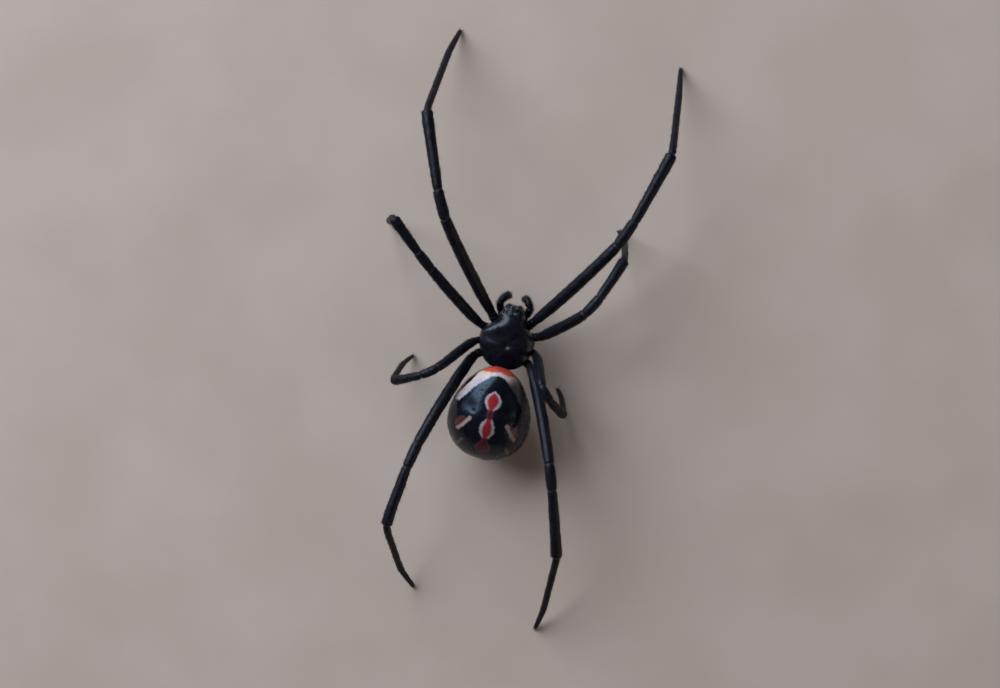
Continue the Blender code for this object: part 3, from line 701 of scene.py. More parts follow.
# %% The abdomen's skin
def abdomen_finish():
    made, tree, shader = new_finish("abdomen_gloss", 0.22, coat=0.08, coat_roughness=0.08, shine=0.3)
    shader.inputs["Specular Tint"].default_value = colour(0.62, 0.74, 1.0)
    place = millimetres(tree)
    mottle = mottled(tree, place, 1.1, 0.35, 0.7, detail=5.0)
    shade = marked_shade(tree, place, blended(tree, mottle, BLACK, colour(0.007, 0.006, 0.010)))
    shell(tree, shader, place, shade, 5.0, 0.2, 0.34, (15.0, 0.0018, 48.0, 0.0006))
    return made


def marked_hair_finish():
    made, tree, shader = new_finish("hair_marked", 0.5, shine=0.1)
    place = millimetres(tree)
    mottle = mottled(tree, place, 3.0, 0.3, 0.7, detail=4.0)
    ground = blended(tree, mottle, colour(0.0035, 0.003, 0.0045), colour(0.008, 0.006, 0.007))
    tree.links.new(marked_shade(tree, place, ground), shader.inputs["Base Color"])
    return made


ABDOMEN_GLOSS = abdomen_finish()
MARKED_HAIR = marked_hair_finish()
abdomen = add_skin("abdomen_skin", [abdomen_grid], ABDOMEN_GLOSS, ["abdomen"])
set_values(abdomen, abdomen_values)
print(abdomen.name, len(abdomen.data.polygons), "faces")

# %% [markdown]
# The carapace is one stiff plate over the legs' roots: a broad thorax and a narrower, higher head.
# A cage with subdivision would round it off too much, so each point comes from two outlines, the
# half width and the rise, as in the solid.

# %% The carapace's form
CARAPACE_LENGTH = (carapace_high.y - carapace_low.y) / MM
THORAX_HALF_WIDTH = 1.6
HEAD_HALF_WIDTH = 0.86
RIM_HEIGHT = 2.62
THORAX_RISE = 0.78
HEAD_RISE = 1.0
PLATE_DEPTH = 0.12
# Where the outline and the rise turn from thorax to head, and the rear's slope, as (share, reach)
HEAD_OUTLINE, HEAD_ARCH, REAR_SLOPE = (-0.02, 0.62), (-0.15, 0.5), (-1.15, 0.9)


def carapace_half_width(share):
    head = ramp(share, *HEAD_OUTLINE)
    width = THORAX_HALF_WIDTH * (1 - head) + HEAD_HALF_WIDTH * head
    skewed = np.clip(share + 0.02 * (1 - share * share), -1.0, 1.0)
    return width * np.maximum(0.0, 1 - skewed * skewed) ** ((0.5 + 0.25 * (1 - head)) / 2)


def carapace_rise(share):
    head = ramp(share, *HEAD_ARCH)
    rise = (THORAX_RISE * (1 - head) + HEAD_RISE * head) * (0.35 + 0.65 * ramp(share, *REAR_SLOPE))
    return rise * roundness(share, 0.42)


def carapace_form(share, angle):
    across, over = np.cos(angle), np.sin(angle)
    top = np.maximum(over, 0.0)
    under = PLATE_DEPTH * np.minimum(over, 0.0) * roundness(share, 0.4)
    height = RIM_HEIGHT + carapace_rise(share) * top**0.85 + under
    forward = share * CARAPACE_LENGTH / 2
    outward = carapace_half_width(share) * across
    middle = at(0.0, 0.0, RIM_HEIGHT)
    return middle + (at(outward, forward, height) - middle) * COAT_ROOM


print(f"the carapace is {CARAPACE_LENGTH:.2f} mm long")

# %% [markdown]
# The pit in the middle of the plate, the furrows that run out from it and the grooves behind the
# head show where muscles are fixed inside. They are only 0.02 to 0.17 mm deep, but light catches in
# them, so they are moved vertices like the dimples of the abdomen and not a bump.

# %% The carapace's relief
CARAPACE_WAVES = ((0.006, 0.9, 21), (0.0012, 0.28, 22))
PIT_FORWARD, PIT_DEPTH, PIT_REACH = -0.55, 0.17, 0.3
# Furrows as (angle from straight ahead in degrees, start, end, reach, depth)
FURROWS = (
    (38, 0.2, 1.35, 0.13, 0.05),
    (78, 0.2, 1.3, 0.1, 0.022),
    (112, 0.2, 1.2, 0.1, 0.022),
    (146, 0.2, 1.1, 0.1, 0.02),
)
FURROW_FADES = (0.4, 0.7)
EDGE_RISE, EDGE_REACH = 0.02, 0.05


def carapace_relief(points):
    """The plate's pit, furrows, grooves and rim, for its upper face."""
    left, forward, height = np.abs(points[..., 0]), -points[..., 1], points[..., 2]
    over = ramp(height - RIM_HEIGHT, 0.08, 0.2)
    relief = uneven(points, CARAPACE_WAVES)
    relief -= PIT_DEPTH * over * bell(np.hypot((forward - PIT_FORWARD) / 0.75, left * 1.1), PIT_REACH)
    for degrees, start, end, reach, depth in FURROWS:
        ahead, aside = math.cos(math.radians(degrees)), math.sin(math.radians(degrees))
        run = (forward - PIT_FORWARD) * ahead + left * aside
        off = (forward - PIT_FORWARD) * aside - left * ahead
        window = ramp(run, start, FURROW_FADES[0]) * smooth_step((end - run) / FURROW_FADES[1])
        relief -= depth * over * window * bell(off, reach)
    return relief + EDGE_RISE * bell(height - RIM_HEIGHT - 0.03, EDGE_REACH)


print("the carapace has", len(FURROWS), "furrows on each side")

# %% [markdown]
# Eight small eyes sit in two rows on the front of the head, each on a low black mound with a ring
# round the lens. The mounds belong to the plate, so they are part of its relief. The places and
# sizes come from the solids of the eyes.

# %% Eye mounds and the carapace's skin
EYE_NODES = sorted(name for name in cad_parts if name.startswith("eye_"))
EYES = {}
for eye_node in EYE_NODES:
    eye_low, eye_high = in_body_space(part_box(eye_node))
    EYES[eye_node] = ((eye_low + eye_high) / 2, (eye_high - eye_low).max() / 2)
CARAPACE_RINGS = 240
CARAPACE_AROUND = 260
MOUND_RISE, MOUND_REACH = 0.03, 0.1
# The ring round the lens: its rise, its reach and its radius as a share of the eye's
LENS_RING = (0.01, 0.022, 1.08)


def eye_mounds(points):
    relief = np.zeros(points.shape[:-1])
    ring_rise, ring_reach, ring_share = LENS_RING
    for middle, radius in EYES.values():
        away = np.linalg.norm(points - middle, axis=-1)
        relief = np.maximum(relief, MOUND_RISE * bell(np.maximum(away - radius, 0.0), MOUND_REACH))
        relief += ring_rise * bell(away - radius * ring_share, ring_reach)
    return relief


# Closer still at the ends than the rows of a globe, for the steep face and rear
spread = (1 - np.cos(np.linspace(0, math.pi, CARAPACE_RINGS + 2)[1:-1])) / 2
carapace_grid = carapace_form(np.cos(spread * math.pi)[:, None], full_turn(CARAPACE_AROUND)[None, :])
carapace_grid = raised(carapace_grid, carapace_relief(carapace_grid) + eye_mounds(carapace_grid))
carapace = add_skin("carapace_skin", [carapace_grid], SHELL, ["carapace"])
print(carapace.name, len(carapace.data.polygons), "faces, with the mounds of", len(EYES), "eyes")

# %% [markdown]
# A spider's eye is a smooth clear lens over a dark cup. A ball would do from afar, but the real
# lens is a dome that is a little flatter than a ball, so each eye is a ball squeezed along the way
# that it looks.

# %% Eyes
EYE_RINGS = 28
EYE_AROUND = 36
HEAD_MIDDLE = at(0.0, 0.9, 2.55)
# How far a lens stands out, its share of the solid's radius, and how flat it is
LENS_OUT, LENS_SHARE, LENS_FLATNESS = 0.012, 0.97, 0.85


def dome(middle, radius, heading, flatness):
    """A ball squeezed along its heading, as a grid of rings."""
    side = unit(np.cross(heading, UP + 0.01 * heading[0]))
    over = np.cross(side, heading)
    polar = np.linspace(0.02, math.pi - 0.02, EYE_RINGS)[:, None]
    turn = full_turn(EYE_AROUND)[None, :]
    ring = np.sin(polar)[..., None] * (np.cos(turn)[..., None] * side + np.sin(turn)[..., None] * over)
    return middle + radius * (ring + flatness * np.cos(polar)[..., None] * heading)


for eye_node, (middle, radius) in EYES.items():
    heading = unit(middle - HEAD_MIDDLE)
    lens = dome(middle + heading * LENS_OUT, radius * LENS_SHARE, heading, LENS_FLATNESS)
    add_skin(f"{eye_node}_lens", [lens], EYE_GLASS, [eye_node])
print("made", len(EYES), "lenses")

# %% [markdown]
# A limb bends softly at its joints and is nearly straight between them. Straight pieces between the
# joints would show kinks, and a plain spline overshoots where two joints are close. This line runs
# through every knot and takes the distances between the knots into account, so it does neither.


# %% Smooth lines
def smooth_line(knots, steps=16):
    """A smooth line through the knots, with how far along it each knot lies."""
    knots = np.asarray(knots, dtype=float)
    padded = np.concatenate([[2 * knots[0] - knots[1]], knots, [2 * knots[-1] - knots[-2]]])
    spans = []
    for index in range(len(knots) - 1):
        a, b, c, d = padded[index:index + 4]
        gaps = np.sqrt(np.linalg.norm(np.diff(padded[index:index + 4], axis=0), axis=1))
        t0, t1, t2, t3 = np.concatenate([[0.0], np.cumsum(gaps)])
        t = np.linspace(t1, t2, steps, endpoint=False)[:, None]
        ab = ((t1 - t) * a + (t - t0) * b) / (t1 - t0)
        bc = ((t2 - t) * b + (t - t1) * c) / (t2 - t1)
        cd = ((t3 - t) * c + (t - t2) * d) / (t3 - t2)
        early = ((t2 - t) * ab + (t - t0) * bc) / (t2 - t0)
        late = ((t3 - t) * bc + (t - t1) * cd) / (t3 - t1)
        spans.append(((t2 - t) * early + (t - t1) * late) / (t2 - t1))
    line = np.concatenate([*spans, knots[-1:]])
    length = np.concatenate([[0.0], np.cumsum(np.linalg.norm(np.diff(line, axis=0), axis=1))])
    return line, length, length[::steps]


def along_line(line, length, stations):
    return np.stack([np.interp(stations, length, line[:, axis]) for axis in range(3)], axis=-1)


def eased(values, times):
    """The values smoothed along their first axis, with both ends kept."""
    values = np.array(values, dtype=float)
    for _ in range(times):
        values[1:-1] = (values[:-2] + 2 * values[1:-1] + values[2:]) / 4
    return values


def profile(marks, share):
    """A size read off a list of (share of the length, size)."""
    places, sizes = zip(*marks)
    return np.interp(share, places, sizes)


print("a size half way between 1 and 3:", float(profile(((0.0, 1.0), (1.0, 3.0)), 0.5)))

# %% [markdown]
# Legs, feelers, jaws, claws and the waist are all drawn the same way: rings set along a smooth line.
# Blender's curve with a bevel makes such a tube too, but rings made here can also change their
# radius, carry values and tell the hairs which way the limb runs.

# %% Tubes, rods and hooks
STEEP = 0.95
# The smallest radius of a rod's end, how a point tapers, and how much of its radius a hook loses
ROD_END, TAPER_POWER, HOOK_LOSS = 0.004, 1.3, 0.88


def swept_rings(line, radii, around):
    """Rings round a line, turned as little as possible from one to the next."""
    headings = unit(np.gradient(line, axis=0))
    steep = abs(headings[0][2]) > STEEP
    across = unit(np.cross(headings[0], SIDEWAYS if steep else UP))
    turn = full_turn(around)[:, None]
    rings = []
    for middle, heading, radius in zip(line, headings, radii):
        across = unit(across - heading * (across @ heading))
        over = np.cross(across, heading)
        rings.append(middle + radius * (np.cos(turn) * across + np.sin(turn) * over))
    return np.array(rings)


def short_rod(start, end, radius, power, rings, around):
    """A straight rod with rounded ends."""
    share = np.linspace(0.0, 1.0, rings)
    radii = radius * roundness(2 * share - 1, power) + ROD_END
    return swept_rings(start + (end - start) * share[:, None], radii, around)


def tapered(radius, share, loss):
    """Radii that shrink towards a point, slowly at first."""
    return radius * (1 - loss * share**TAPER_POWER)


def hooked_cone(root, heading, bend, length, radius, around=8, rings=9):
    """A tapering hook: it starts along its heading and turns towards the bend."""
    share = np.linspace(0.0, 1.0, rings)
    path = share[:, None] * unit(heading) + 0.5 * np.square(share[:, None]) * np.asarray(bend)
    return swept_rings(root + length * path, tapered(radius, share, HOOK_LOSS), around)


print("a hook keeps", round(1 - HOOK_LOSS, 2), "of its radius at the point")

# %% [markdown]
# Between the hard plates the body is leathery skin, which shows as a dark strip over the legs'
# roots. A plate could be stretched down to hide the gap, but then the legs would seem to grow out
# of armour. So one soft core fills the space between the carapace, the breast plate and the legs.

# %% Soft core of the thorax
CORE_LENGTH = 3.2
CORE_HALF_WIDTH = 1.12
CORE_LOW = 1.72
CORE_HIGH = 2.66
CORE_TAPER = 0.2
core_share, core_angle = globe_rows(60, 0.03), full_turn(80)[None, :]
core_ring = roundness(core_share, 0.7)
core_grid = at(
    CORE_HALF_WIDTH * core_ring * np.cos(core_angle) * (1 - CORE_TAPER * ramp(core_share, 0.1, 0.8)),
    core_share * CORE_LENGTH / 2,
    (CORE_HIGH + CORE_LOW) / 2 + (CORE_HIGH - CORE_LOW) / 2 * core_ring * np.sin(core_angle),
)
core_grid = raised(core_grid, uneven(core_grid, [(0.02, 0.3, 31)]))
thorax_core = add_skin("thorax_core", [core_grid], SOFT_SKIN)
print(thorax_core.name, len(thorax_core.data.polygons), "faces")

# %% [markdown]
# Under the thorax lies the breast plate, a black shield drawn to a point between the last legs, with
# the lower lip in front of it. The solid's own outline is used again, and the plate gets a raised
# rim and a slight keel, which a flat disc would lack.

# %% Breast plate and lip
STERNUM_LOW, STERNUM_HIGH = in_body_space(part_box("sternum"))
STERNUM_LENGTH = 2.15
STERNUM_MIDDLE = -0.1
STERNUM_HALF_WIDTH = 0.84
STERNUM_TAPER = 0.42
# The ridge along the middle as (rise, reach), the raised edge as (rise, share in from the rim, reach)
KEEL, STERNUM_EDGE = (0.03, 0.14), (0.035, 0.06, 0.07)
LIP_LENGTH = 0.5
LIP_RADIUS = 0.24
# How far the lip's front and rear lie below the plate's middle
LIP_SINK = (0.12, 0.1)


def sternum_half_width(share):
    taper = 1 - STERNUM_TAPER * smooth_step((0.25 - share) / 1.25)
    return STERNUM_HALF_WIDTH * taper * roundness(share, 0.6)


sternum_share, sternum_angle = globe_rows(90, 0.02), full_turn(96)[None, :]
sternum_width = sternum_half_width(sternum_share)
sternum_depth = (STERNUM_HIGH[2] - STERNUM_LOW[2]) / 2
sternum_level = STERNUM_HIGH[2] - sternum_depth
sternum_flat = roundness(sternum_share, 0.5) * np.clip(1.6 * np.sin(sternum_angle), -1, 1)
sternum_front = STERNUM_MIDDLE + STERNUM_LENGTH / 2
sternum_grid = at(
    sternum_width * np.cos(sternum_angle),
    STERNUM_MIDDLE + sternum_share * STERNUM_LENGTH / 2,
    sternum_level + sternum_depth * sternum_flat,
)
from_edge = 1 - np.abs(sternum_grid[..., 0]) / np.maximum(sternum_width, 0.05)
keel = KEEL[0] * bell(sternum_grid[..., 0], KEEL[1])
edge = STERNUM_EDGE[0] * bell(from_edge - STERNUM_EDGE[1], STERNUM_EDGE[2])
sternum_relief = ramp(-np.sin(sternum_angle), 0.0, 0.6) * (keel + edge)
sternum_relief = sternum_relief + uneven(sternum_grid, [(0.006, 0.5, 41)])
sternum_grid = raised(sternum_grid, sternum_relief)
lip_front = at(0.0, sternum_front + LIP_LENGTH / 2, sternum_level - LIP_SINK[0])
lip_rear = at(0.0, sternum_front - LIP_LENGTH / 2, sternum_level - LIP_SINK[1])
lip_grid = short_rod(lip_rear, lip_front, LIP_RADIUS, 0.8, 24, 32)
sternum = add_skin("breast_plate", [sternum_grid, lip_grid], SHELL, ["sternum"])
print(sternum.name, len(sternum.data.polygons), "faces")

# %% [markdown]
# The waist is a short stalk of a few stiff rings. It is drawn from the thorax into the abdomen, a
# little past both, because in a still model nothing has to bend there.

# %% Waist
WAIST_LOW, WAIST_HIGH = in_body_space(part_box("pedicel"))
WAIST_RADIUS = (WAIST_HIGH[2] - WAIST_LOW[2]) / 2
WAIST_HEIGHT = (WAIST_LOW[2] + WAIST_HIGH[2]) / 2
WAIST_RINGS = 5
# How far it runs into the thorax and the abdomen, and how much it rises on the way
WAIST_INTO_THORAX, WAIST_INTO_ABDOMEN, WAIST_RISE = 0.1, 0.35, 0.12
waist_share = np.linspace(0.0, 1.0, 70)
under_front = abdomen_grid[:ABDOMEN_RINGS // 2, ABDOMEN_AROUND * 3 // 4]
waist_meets = np.interp(-WAIST_HEIGHT, -under_front[:, 2], under_front[:, 1])
waist_start = np.array([0.0, WAIST_LOW[1] - WAIST_INTO_THORAX, WAIST_HEIGHT])
waist_end = np.array([0.0, waist_meets + WAIST_INTO_ABDOMEN, WAIST_HEIGHT + WAIST_RISE])
waist_line = waist_start + (waist_end - waist_start) * waist_share[:, None]
waist_radii = WAIST_RADIUS * (0.88 - 0.09 * np.abs(np.sin(waist_share * math.pi * WAIST_RINGS)) ** 0.5)
add_skin("waist", [swept_rings(waist_line, waist_radii, 40)], SHELL, ["pedicel"])
print(f"the waist's radius is {WAIST_RADIUS:.3f} mm, and it meets the abdomen at {waist_meets:.2f} mm")

# %% [markdown]
# Silk comes out of three pairs of short cones at the abdomen's rear end, each made of a stout base
# and a small tip with fine tubes. Separate cones in a ring would look pinned on, so they rise from
# one low collar, with the knob of the gut's end above them.

# %% Spinnerets
SPINNERET_BACKSET = 0.45
COLLAR_RADIUS, COLLAR_REACH, COLLAR_SUNK = 0.36, 0.34, 0.02
# The knob's root from the middle, the way it points, its radius and its length
KNOB = (at(0.0, -0.3, 0.1), at(0.0, -0.32, -0.1), 0.16, 0.33)
# Cones as (forward from the middle, outward, radius, length)
SPINNERET_CONES = ((0.2, 0.17, 0.145, 0.53), (-0.02, 0.11, 0.09, 0.4), (-0.24, 0.18, 0.135, 0.5))
SPINNERET_FORM = ((0.0, 0.9), (0.2, 1.0), (0.55, 0.9), (0.62, 0.68), (0.7, 0.74), (0.88, 0.5), (1.0, 0.22))
spinneret_aim = unit(at(0.0, -SPINNERET_BACKSET, -1.0))


def cone_grid(root, aim, radius, length, rings=40, around=28):
    share = np.linspace(0.0, 1.0, rings)
    line = root + unit(aim) * length * share[:, None]
    return swept_rings(line, radius * eased(profile(SPINNERET_FORM, share), 2), around)


collar_share = np.linspace(-0.99, 0.99, 30)
collar_line = SPINNERET_MIDDLE + spinneret_aim * (COLLAR_REACH * collar_share[:, None] - COLLAR_SUNK)
spinneret_grids = [swept_rings(collar_line, COLLAR_RADIUS * roundness(collar_share, 1.0) + 0.01, 40)]
spinneret_tips = []
for forward, outward, radius, length in SPINNERET_CONES:
    for side in SIDES.values():
        root = SPINNERET_MIDDLE + at(side * outward, forward, 0.0)
        aim = spinneret_aim + at(side * outward * 0.4, forward * 0.25, 0.0)
        spinneret_grids.append(cone_grid(root, aim, radius, length))
        spinneret_tips.append((root + unit(aim) * length * 0.97, unit(aim), radius))
spinneret_grids.append(cone_grid(SPINNERET_MIDDLE + KNOB[0], *KNOB[1:]))
add_skin("spinneret_skin", spinneret_grids, SPIGOTS, ["spinnerets"])
print("the spinnerets have", len(spinneret_grids), "parts")

# %% [markdown]
# The silk leaves through fine tubes on the cones' tips. Real ones are too many and too fine to
# model, so each cone gets one in the middle and six round it, sunk a little into the tip.

# %% Silk tubes
TUBES_PER_CONE = 7
TUBE_LENGTH, TUBE_RADIUS = 0.055, 0.009
# Where the outer tubes stand on the cone's radius, how far they lean out, and how deep they are sunk
TUBE_RING, TUBE_LEAN, TUBE_SUNK = 0.27, 0.2, 0.03
tubes = []
for tip, aim, radius in spinneret_tips:
    side_way = unit(np.cross(aim, at(0.0, 1.0, 0.0)))
    over_way = np.cross(aim, side_way)
    for number in range(TUBES_PER_CONE):
        turn = number * 2 * math.pi / (TUBES_PER_CONE - 1)
        outward = math.cos(turn) * side_way + math.sin(turn) * over_way
        root = tip + outward * (TUBE_RING * radius if number else 0.0) - aim * TUBE_SUNK
        leaning = aim + outward * TUBE_LEAN
        tubes.append(hooked_cone(root, leaning, np.zeros(3), TUBE_LENGTH, TUBE_RADIUS, around=6, rings=4))
add_skin("spinneret_tubes", tubes, SPIGOTS)
print("they carry", len(tubes), "tubes")

# %% [markdown]
# The jaws hang under the face. Each is a stout shining cylinder, fullest in its upper half and cut
# aslant at its end, where the short curved fang folds in. They could be one block with a groove,
# but the line between them is what makes the face, so each is drawn for itself.

# %% Jaws and fangs
JAW_FORM = ((0.0, 0.74), (0.1, 0.92), (0.35, 1.0), (0.65, 0.93), (0.85, 0.8), (0.95, 0.62), (1.0, 0.3))
JAW_STEPS, JAW_AROUND = 70, 48
JAW_FULLNESS = 0.98
# How far the jaw's root lies above its solid, and how it leans and bows along its length
JAW_ABOVE, JAW_OUT, JAW_FORWARD, JAW_LEAN, JAW_BOW = 0.12, 0.02, 0.08, 0.16, 0.05
FANG_RADIUS, FANG_LOSS = 0.11, 0.93
# The fang's root above the jaw's lower end, its tip from there and its bow in the middle
FANG_ROOT, FANG_TIP, FANG_BOW = (0.04, 0.1), at(-0.17, -0.14, -0.32), at(0.1, 0.06, -0.08)
JAW_GRIDS = {}
for side_name, side in SIDES.items():
    jaw_low, jaw_high = in_body_space(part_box(f"chelicera_{side_name}"))
    jaw_middle = (jaw_low + jaw_high) / 2
    jaw_radius = (jaw_high[0] - jaw_low[0]) / 2
    jaw_share = np.linspace(0.0, 1.0, JAW_STEPS)
    jaw_forward = JAW_LEAN * jaw_share - JAW_FORWARD + JAW_BOW * np.sin(jaw_share * math.pi) - jaw_middle[1]
    jaw_top = jaw_high[2] + JAW_ABOVE
    jaw_line = at(
        jaw_middle[0] - side * JAW_OUT * jaw_share, jaw_forward, jaw_top - (jaw_top - jaw_low[2]) * jaw_share
    )
    jaw_radii = jaw_radius * JAW_FULLNESS * eased(profile(JAW_FORM, jaw_share), 3)
    jaw_grid = swept_rings(jaw_line, jaw_radii, JAW_AROUND)
    jaw_grid = raised(jaw_grid, uneven(jaw_grid, [(0.006, 0.35, 51)]))
    JAW_GRIDS[side_name] = jaw_grid
    add_skin(f"jaw_{side_name}", [jaw_grid], SHELL, [f"chelicera_{side_name}"])
    fang_low, fang_high = in_body_space(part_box(f"fang_{side_name}"))
    mirror = np.array([side, 1, 1])
    fang_share = np.linspace(0.0, 1.0, 36)
    fang_root = np.array([jaw_line[-1][0] + side * FANG_ROOT[0], jaw_line[-1][1], jaw_low[2] + FANG_ROOT[1]])
    fang_path = FANG_TIP * fang_share[:, None] + FANG_BOW * np.sin(fang_share[:, None] * math.pi)
    fang_radii = tapered(FANG_RADIUS, fang_share, FANG_LOSS)
    fang_grid = swept_rings(fang_root + mirror * fang_path, fang_radii, 24)
    add_skin(f"fang_horn_{side_name}", [fang_grid], FANG_HORN, [f"fang_{side_name}"])
print("jaws", (jaw_high - jaw_low).round(2).tolist(), "mm, fangs", (fang_high - fang_low).round(2).tolist())

# %% [markdown]
# The two feelers look like short legs and reach round the face. They have a leg's segments but one
# fewer, a single claw, and a chewing lobe beside the mouth. Their bends are repeated from the
# solid's sizes, because a route of seven points says more than any mesh.

# %% Feelers
# Bends as (forward, outward, height)
FEELER_ROUTE = (
    (1.08, 0.62, 1.84), (1.50, 0.80, 1.98), (1.94, 0.86, 2.32), (2.22, 0.68, 2.28),
    (2.38, 0.54, 1.90), (2.35, 0.47, 1.43), (2.25, 0.42, 1.05),
)
FEELER_RADIUS = 0.215
FEELER_FORM = (
    (0.0, 0.7), (0.08, 0.8), (0.2, 0.95), (0.34, 0.95), (0.42, 0.9), (0.52, 0.98), (0.64, 0.96),
    (0.72, 0.84), (0.85, 0.66), (0.95, 0.46), (1.0, 0.2),
)
FEELER_JOINTS = (0.12, 0.38, 0.52, 0.68)
# The strips of joint skin: their reach as a share of the length, and how much thinner they are
FEELER_STRIP, FEELER_GROOVE = 0.014, 0.26
FEELER_STEPS, FEELER_AROUND = 170, 32
FEELER_TIP_BROWN = 0.5
LOBE_ROOT, LOBE_TIP, LOBE_RADIUS, LOBE_STEPS = (0.62, 1.08, 1.84), (0.2, 1.16, 1.76), 0.155, 30
FEELER_CLAW_LENGTH, FEELER_CLAW_RADIUS = 0.15, 0.03
FEELER_GRIDS = {}


def with_lobe(numbers):
    """A feeler's numbers for each ring, spread over its points, with zeros for the lobe's points."""
    return np.concatenate([spread_over(numbers, FEELER_AROUND), np.zeros(LOBE_STEPS * LOBE_STEPS + 2)])


for side_name, side in SIDES.items():
    knots = [at(side * outward, forward, height) for forward, outward, height in FEELER_ROUTE]
    line, length, _ = smooth_line(knots)
    stations = np.linspace(0.0, length[-1], FEELER_STEPS)
    share = stations / length[-1]
    joint_skin = sum(bell(share - joint, FEELER_STRIP) for joint in FEELER_JOINTS)
    radii = FEELER_RADIUS * eased(profile(FEELER_FORM, share), 6) * (1 - FEELER_GROOVE * joint_skin)
    feeler_grid = swept_rings(eased(along_line(line, length, stations), 12), radii, FEELER_AROUND)
    lobe_root, lobe_tip = (at(side * end[0], end[1], end[2]) for end in (LOBE_ROOT, LOBE_TIP))
    lobe_grid = short_rod(lobe_root, lobe_tip, LOBE_RADIUS, 0.7, LOBE_STEPS, LOBE_STEPS)
    grids = [feeler_grid, lobe_grid]
    feeler = add_skin(f"feeler_{side_name}", grids, LEG_SHELL, [f"pedipalp_{side_name}"])
    values = {"joint_skin": joint_skin, "foot_share": share * FEELER_TIP_BROWN}
    set_values(feeler, {name: with_lobe(numbers) for name, numbers in values.items()})
    FEELER_GRIDS[side_name] = feeler_grid
    claw_root = feeler_grid[-1].mean(axis=0)
    claw_heading = unit(claw_root - feeler_grid[-8].mean(axis=0))
    claw_root = claw_root - claw_heading * FEELER_CLAW_RADIUS
    claw_bend = at(0.0, -0.5, -0.2)
    claw = hooked_cone(claw_root, claw_heading, claw_bend, FEELER_CLAW_LENGTH, FEELER_CLAW_RADIUS)
    add_skin(f"feeler_claw_{side_name}", [claw], CLAW_HORN)
print("feelers are", round(float(length[-1]), 2), "mm long")

# %% [markdown]
# A leg is seven tubes end to end, and its stance is fixed by the solids. One way is to copy their
# corner points again. Here the solids are asked instead: the middle of the cut between two of them
# is a joint, and the middle of a slice through one is a point of the limb between two joints.

# %% Joints and slices of the solids
# The widest gap over which two solids still face each other
CUT_REACH = 0.19


def solid_cloud(node):
    """A solid's points in body space, and the pairs of points that its edges join."""
    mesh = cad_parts[node].data
    points = np.array([vertex.co[:] for vertex in mesh.vertices])
    return (points - BODY_MIDDLE) / MM, np.array([edge.vertices[:] for edge in mesh.edges])


def facing_middle(first, second):
    """The middle of the cut between two solids, from the points that face each other across it."""
    away = np.linalg.norm(first[:, None] - second[None], axis=2)
    near_first = np.unique(first[away.min(axis=1) < CUT_REACH].round(4), axis=0)
    near_second = np.unique(second[away.min(axis=0) < CUT_REACH].round(4), axis=0)
    return (near_first.mean(axis=0) + near_second.mean(axis=0)) / 2


def slice_middle(points, edges, place, heading):
    """The middle and the radius of the slice that a plane cuts through a solid."""
    depth = (points - place) @ heading
    start, end = edges[:, 0], edges[:, 1]
    crossed = (depth[start] > 0) != (depth[end] > 0)
    a, b = points[start[crossed]], points[end[crossed]]
    part = depth[start[crossed]] / (depth[start[crossed]] - depth[end[crossed]])
    hits = a + (b - a) * part[:, None]
    side = unit(np.cross(heading, UP if abs(heading[2]) < 0.9 else SIDEWAYS))
    over = np.cross(heading, side)
    flat = np.stack([(hits - hits.mean(axis=0)) @ side, (hits - hits.mean(axis=0)) @ over], axis=-1)
    flat = flat[np.argsort(np.arctan2(flat[:, 1], flat[:, 0]))]
    following = np.roll(flat, -1, axis=0)
    pieces = (flat[:, 0] * following[:, 1] - following[:, 0] * flat[:, 1]) / 2
    area = pieces.sum()
    centre = ((flat + following) * pieces[:, None]).sum(axis=0) / 3 / area
    return hits.mean(axis=0) + centre[0] * side + centre[1] * over, math.sqrt(abs(area) / math.pi)


print("a front shin is described by", len(solid_cloud("leg1_left_tibia")[0]), "points")

# %% [markdown]
# The joints of a leg, the slices between them and the point where it stands give its whole route,
# from inside the body to the floor. Fewer slices would straighten the thigh's bow, and more would
# follow the solids' facets.

# %% Where each leg runs
LEG_NODES = ("coxa", "femur", "patella", "tibia", "foot")
HIP_SUNK = 0.12
ON_FLOOR = 0.005
SLICES = {
    "coxa": (0.5,), "femur": (0.2, 0.4, 0.6, 0.8), "patella": (0.5,), "tibia": (0.25, 0.5, 0.75),
    "foot": (0.12, 0.25, 0.4, 0.55, 0.7, 0.85, 0.95),
}
# The thigh's places among all of a leg's slices
THIGH_SLICES = slice(1, 5)


def leg_route(pair, side_name):
    """The knots of a leg's line, the places of its joints among them, and the thigh's radius."""
    clouds = {node: solid_cloud(f"leg{pair}_{side_name}_{node}") for node in LEG_NODES}
    joints = [facing_middle(clouds[a][0], clouds[b][0]) for a, b in zip(LEG_NODES, LEG_NODES[1:])]
    coxa_axis = unit(clouds["coxa"][0].mean(axis=0) - joints[0])
    root = joints[0] + coxa_axis * (((clouds["coxa"][0] - joints[0]) @ coxa_axis).max() + HIP_SUNK)
    foot = clouds["foot"][0]
    tip = np.unique(foot[foot[:, 2] < ON_FLOOR].round(4), axis=0).mean(axis=0)
    corners = [root, *joints, tip]
    knots, joint_places, radii = [root], [], []
    for node, start, end in zip(LEG_NODES, corners, corners[1:]):
        for share in SLICES[node]:
            middle, radius = slice_middle(*clouds[node], start + (end - start) * share, unit(end - start))
            knots.append(middle)
            radii.append(radius)
        knots.append(end)
        joint_places.append(len(knots) - 1)
    return knots, joint_places, max(radii[THIGH_SLICES])


leg_example, _, thigh_example = leg_route(1, "left")
print("a front leg has", len(leg_example), "knots, its thigh a radius of", round(thigh_example, 3), "mm")

# %% [markdown]
# Along each segment the radius follows the real leg: thick thigh, blunt end of the shin, thin foot.
# One plain taper would look like wire. So each segment has a short list of radii of its own, and
# every joint gets a small collar with a groove behind it.

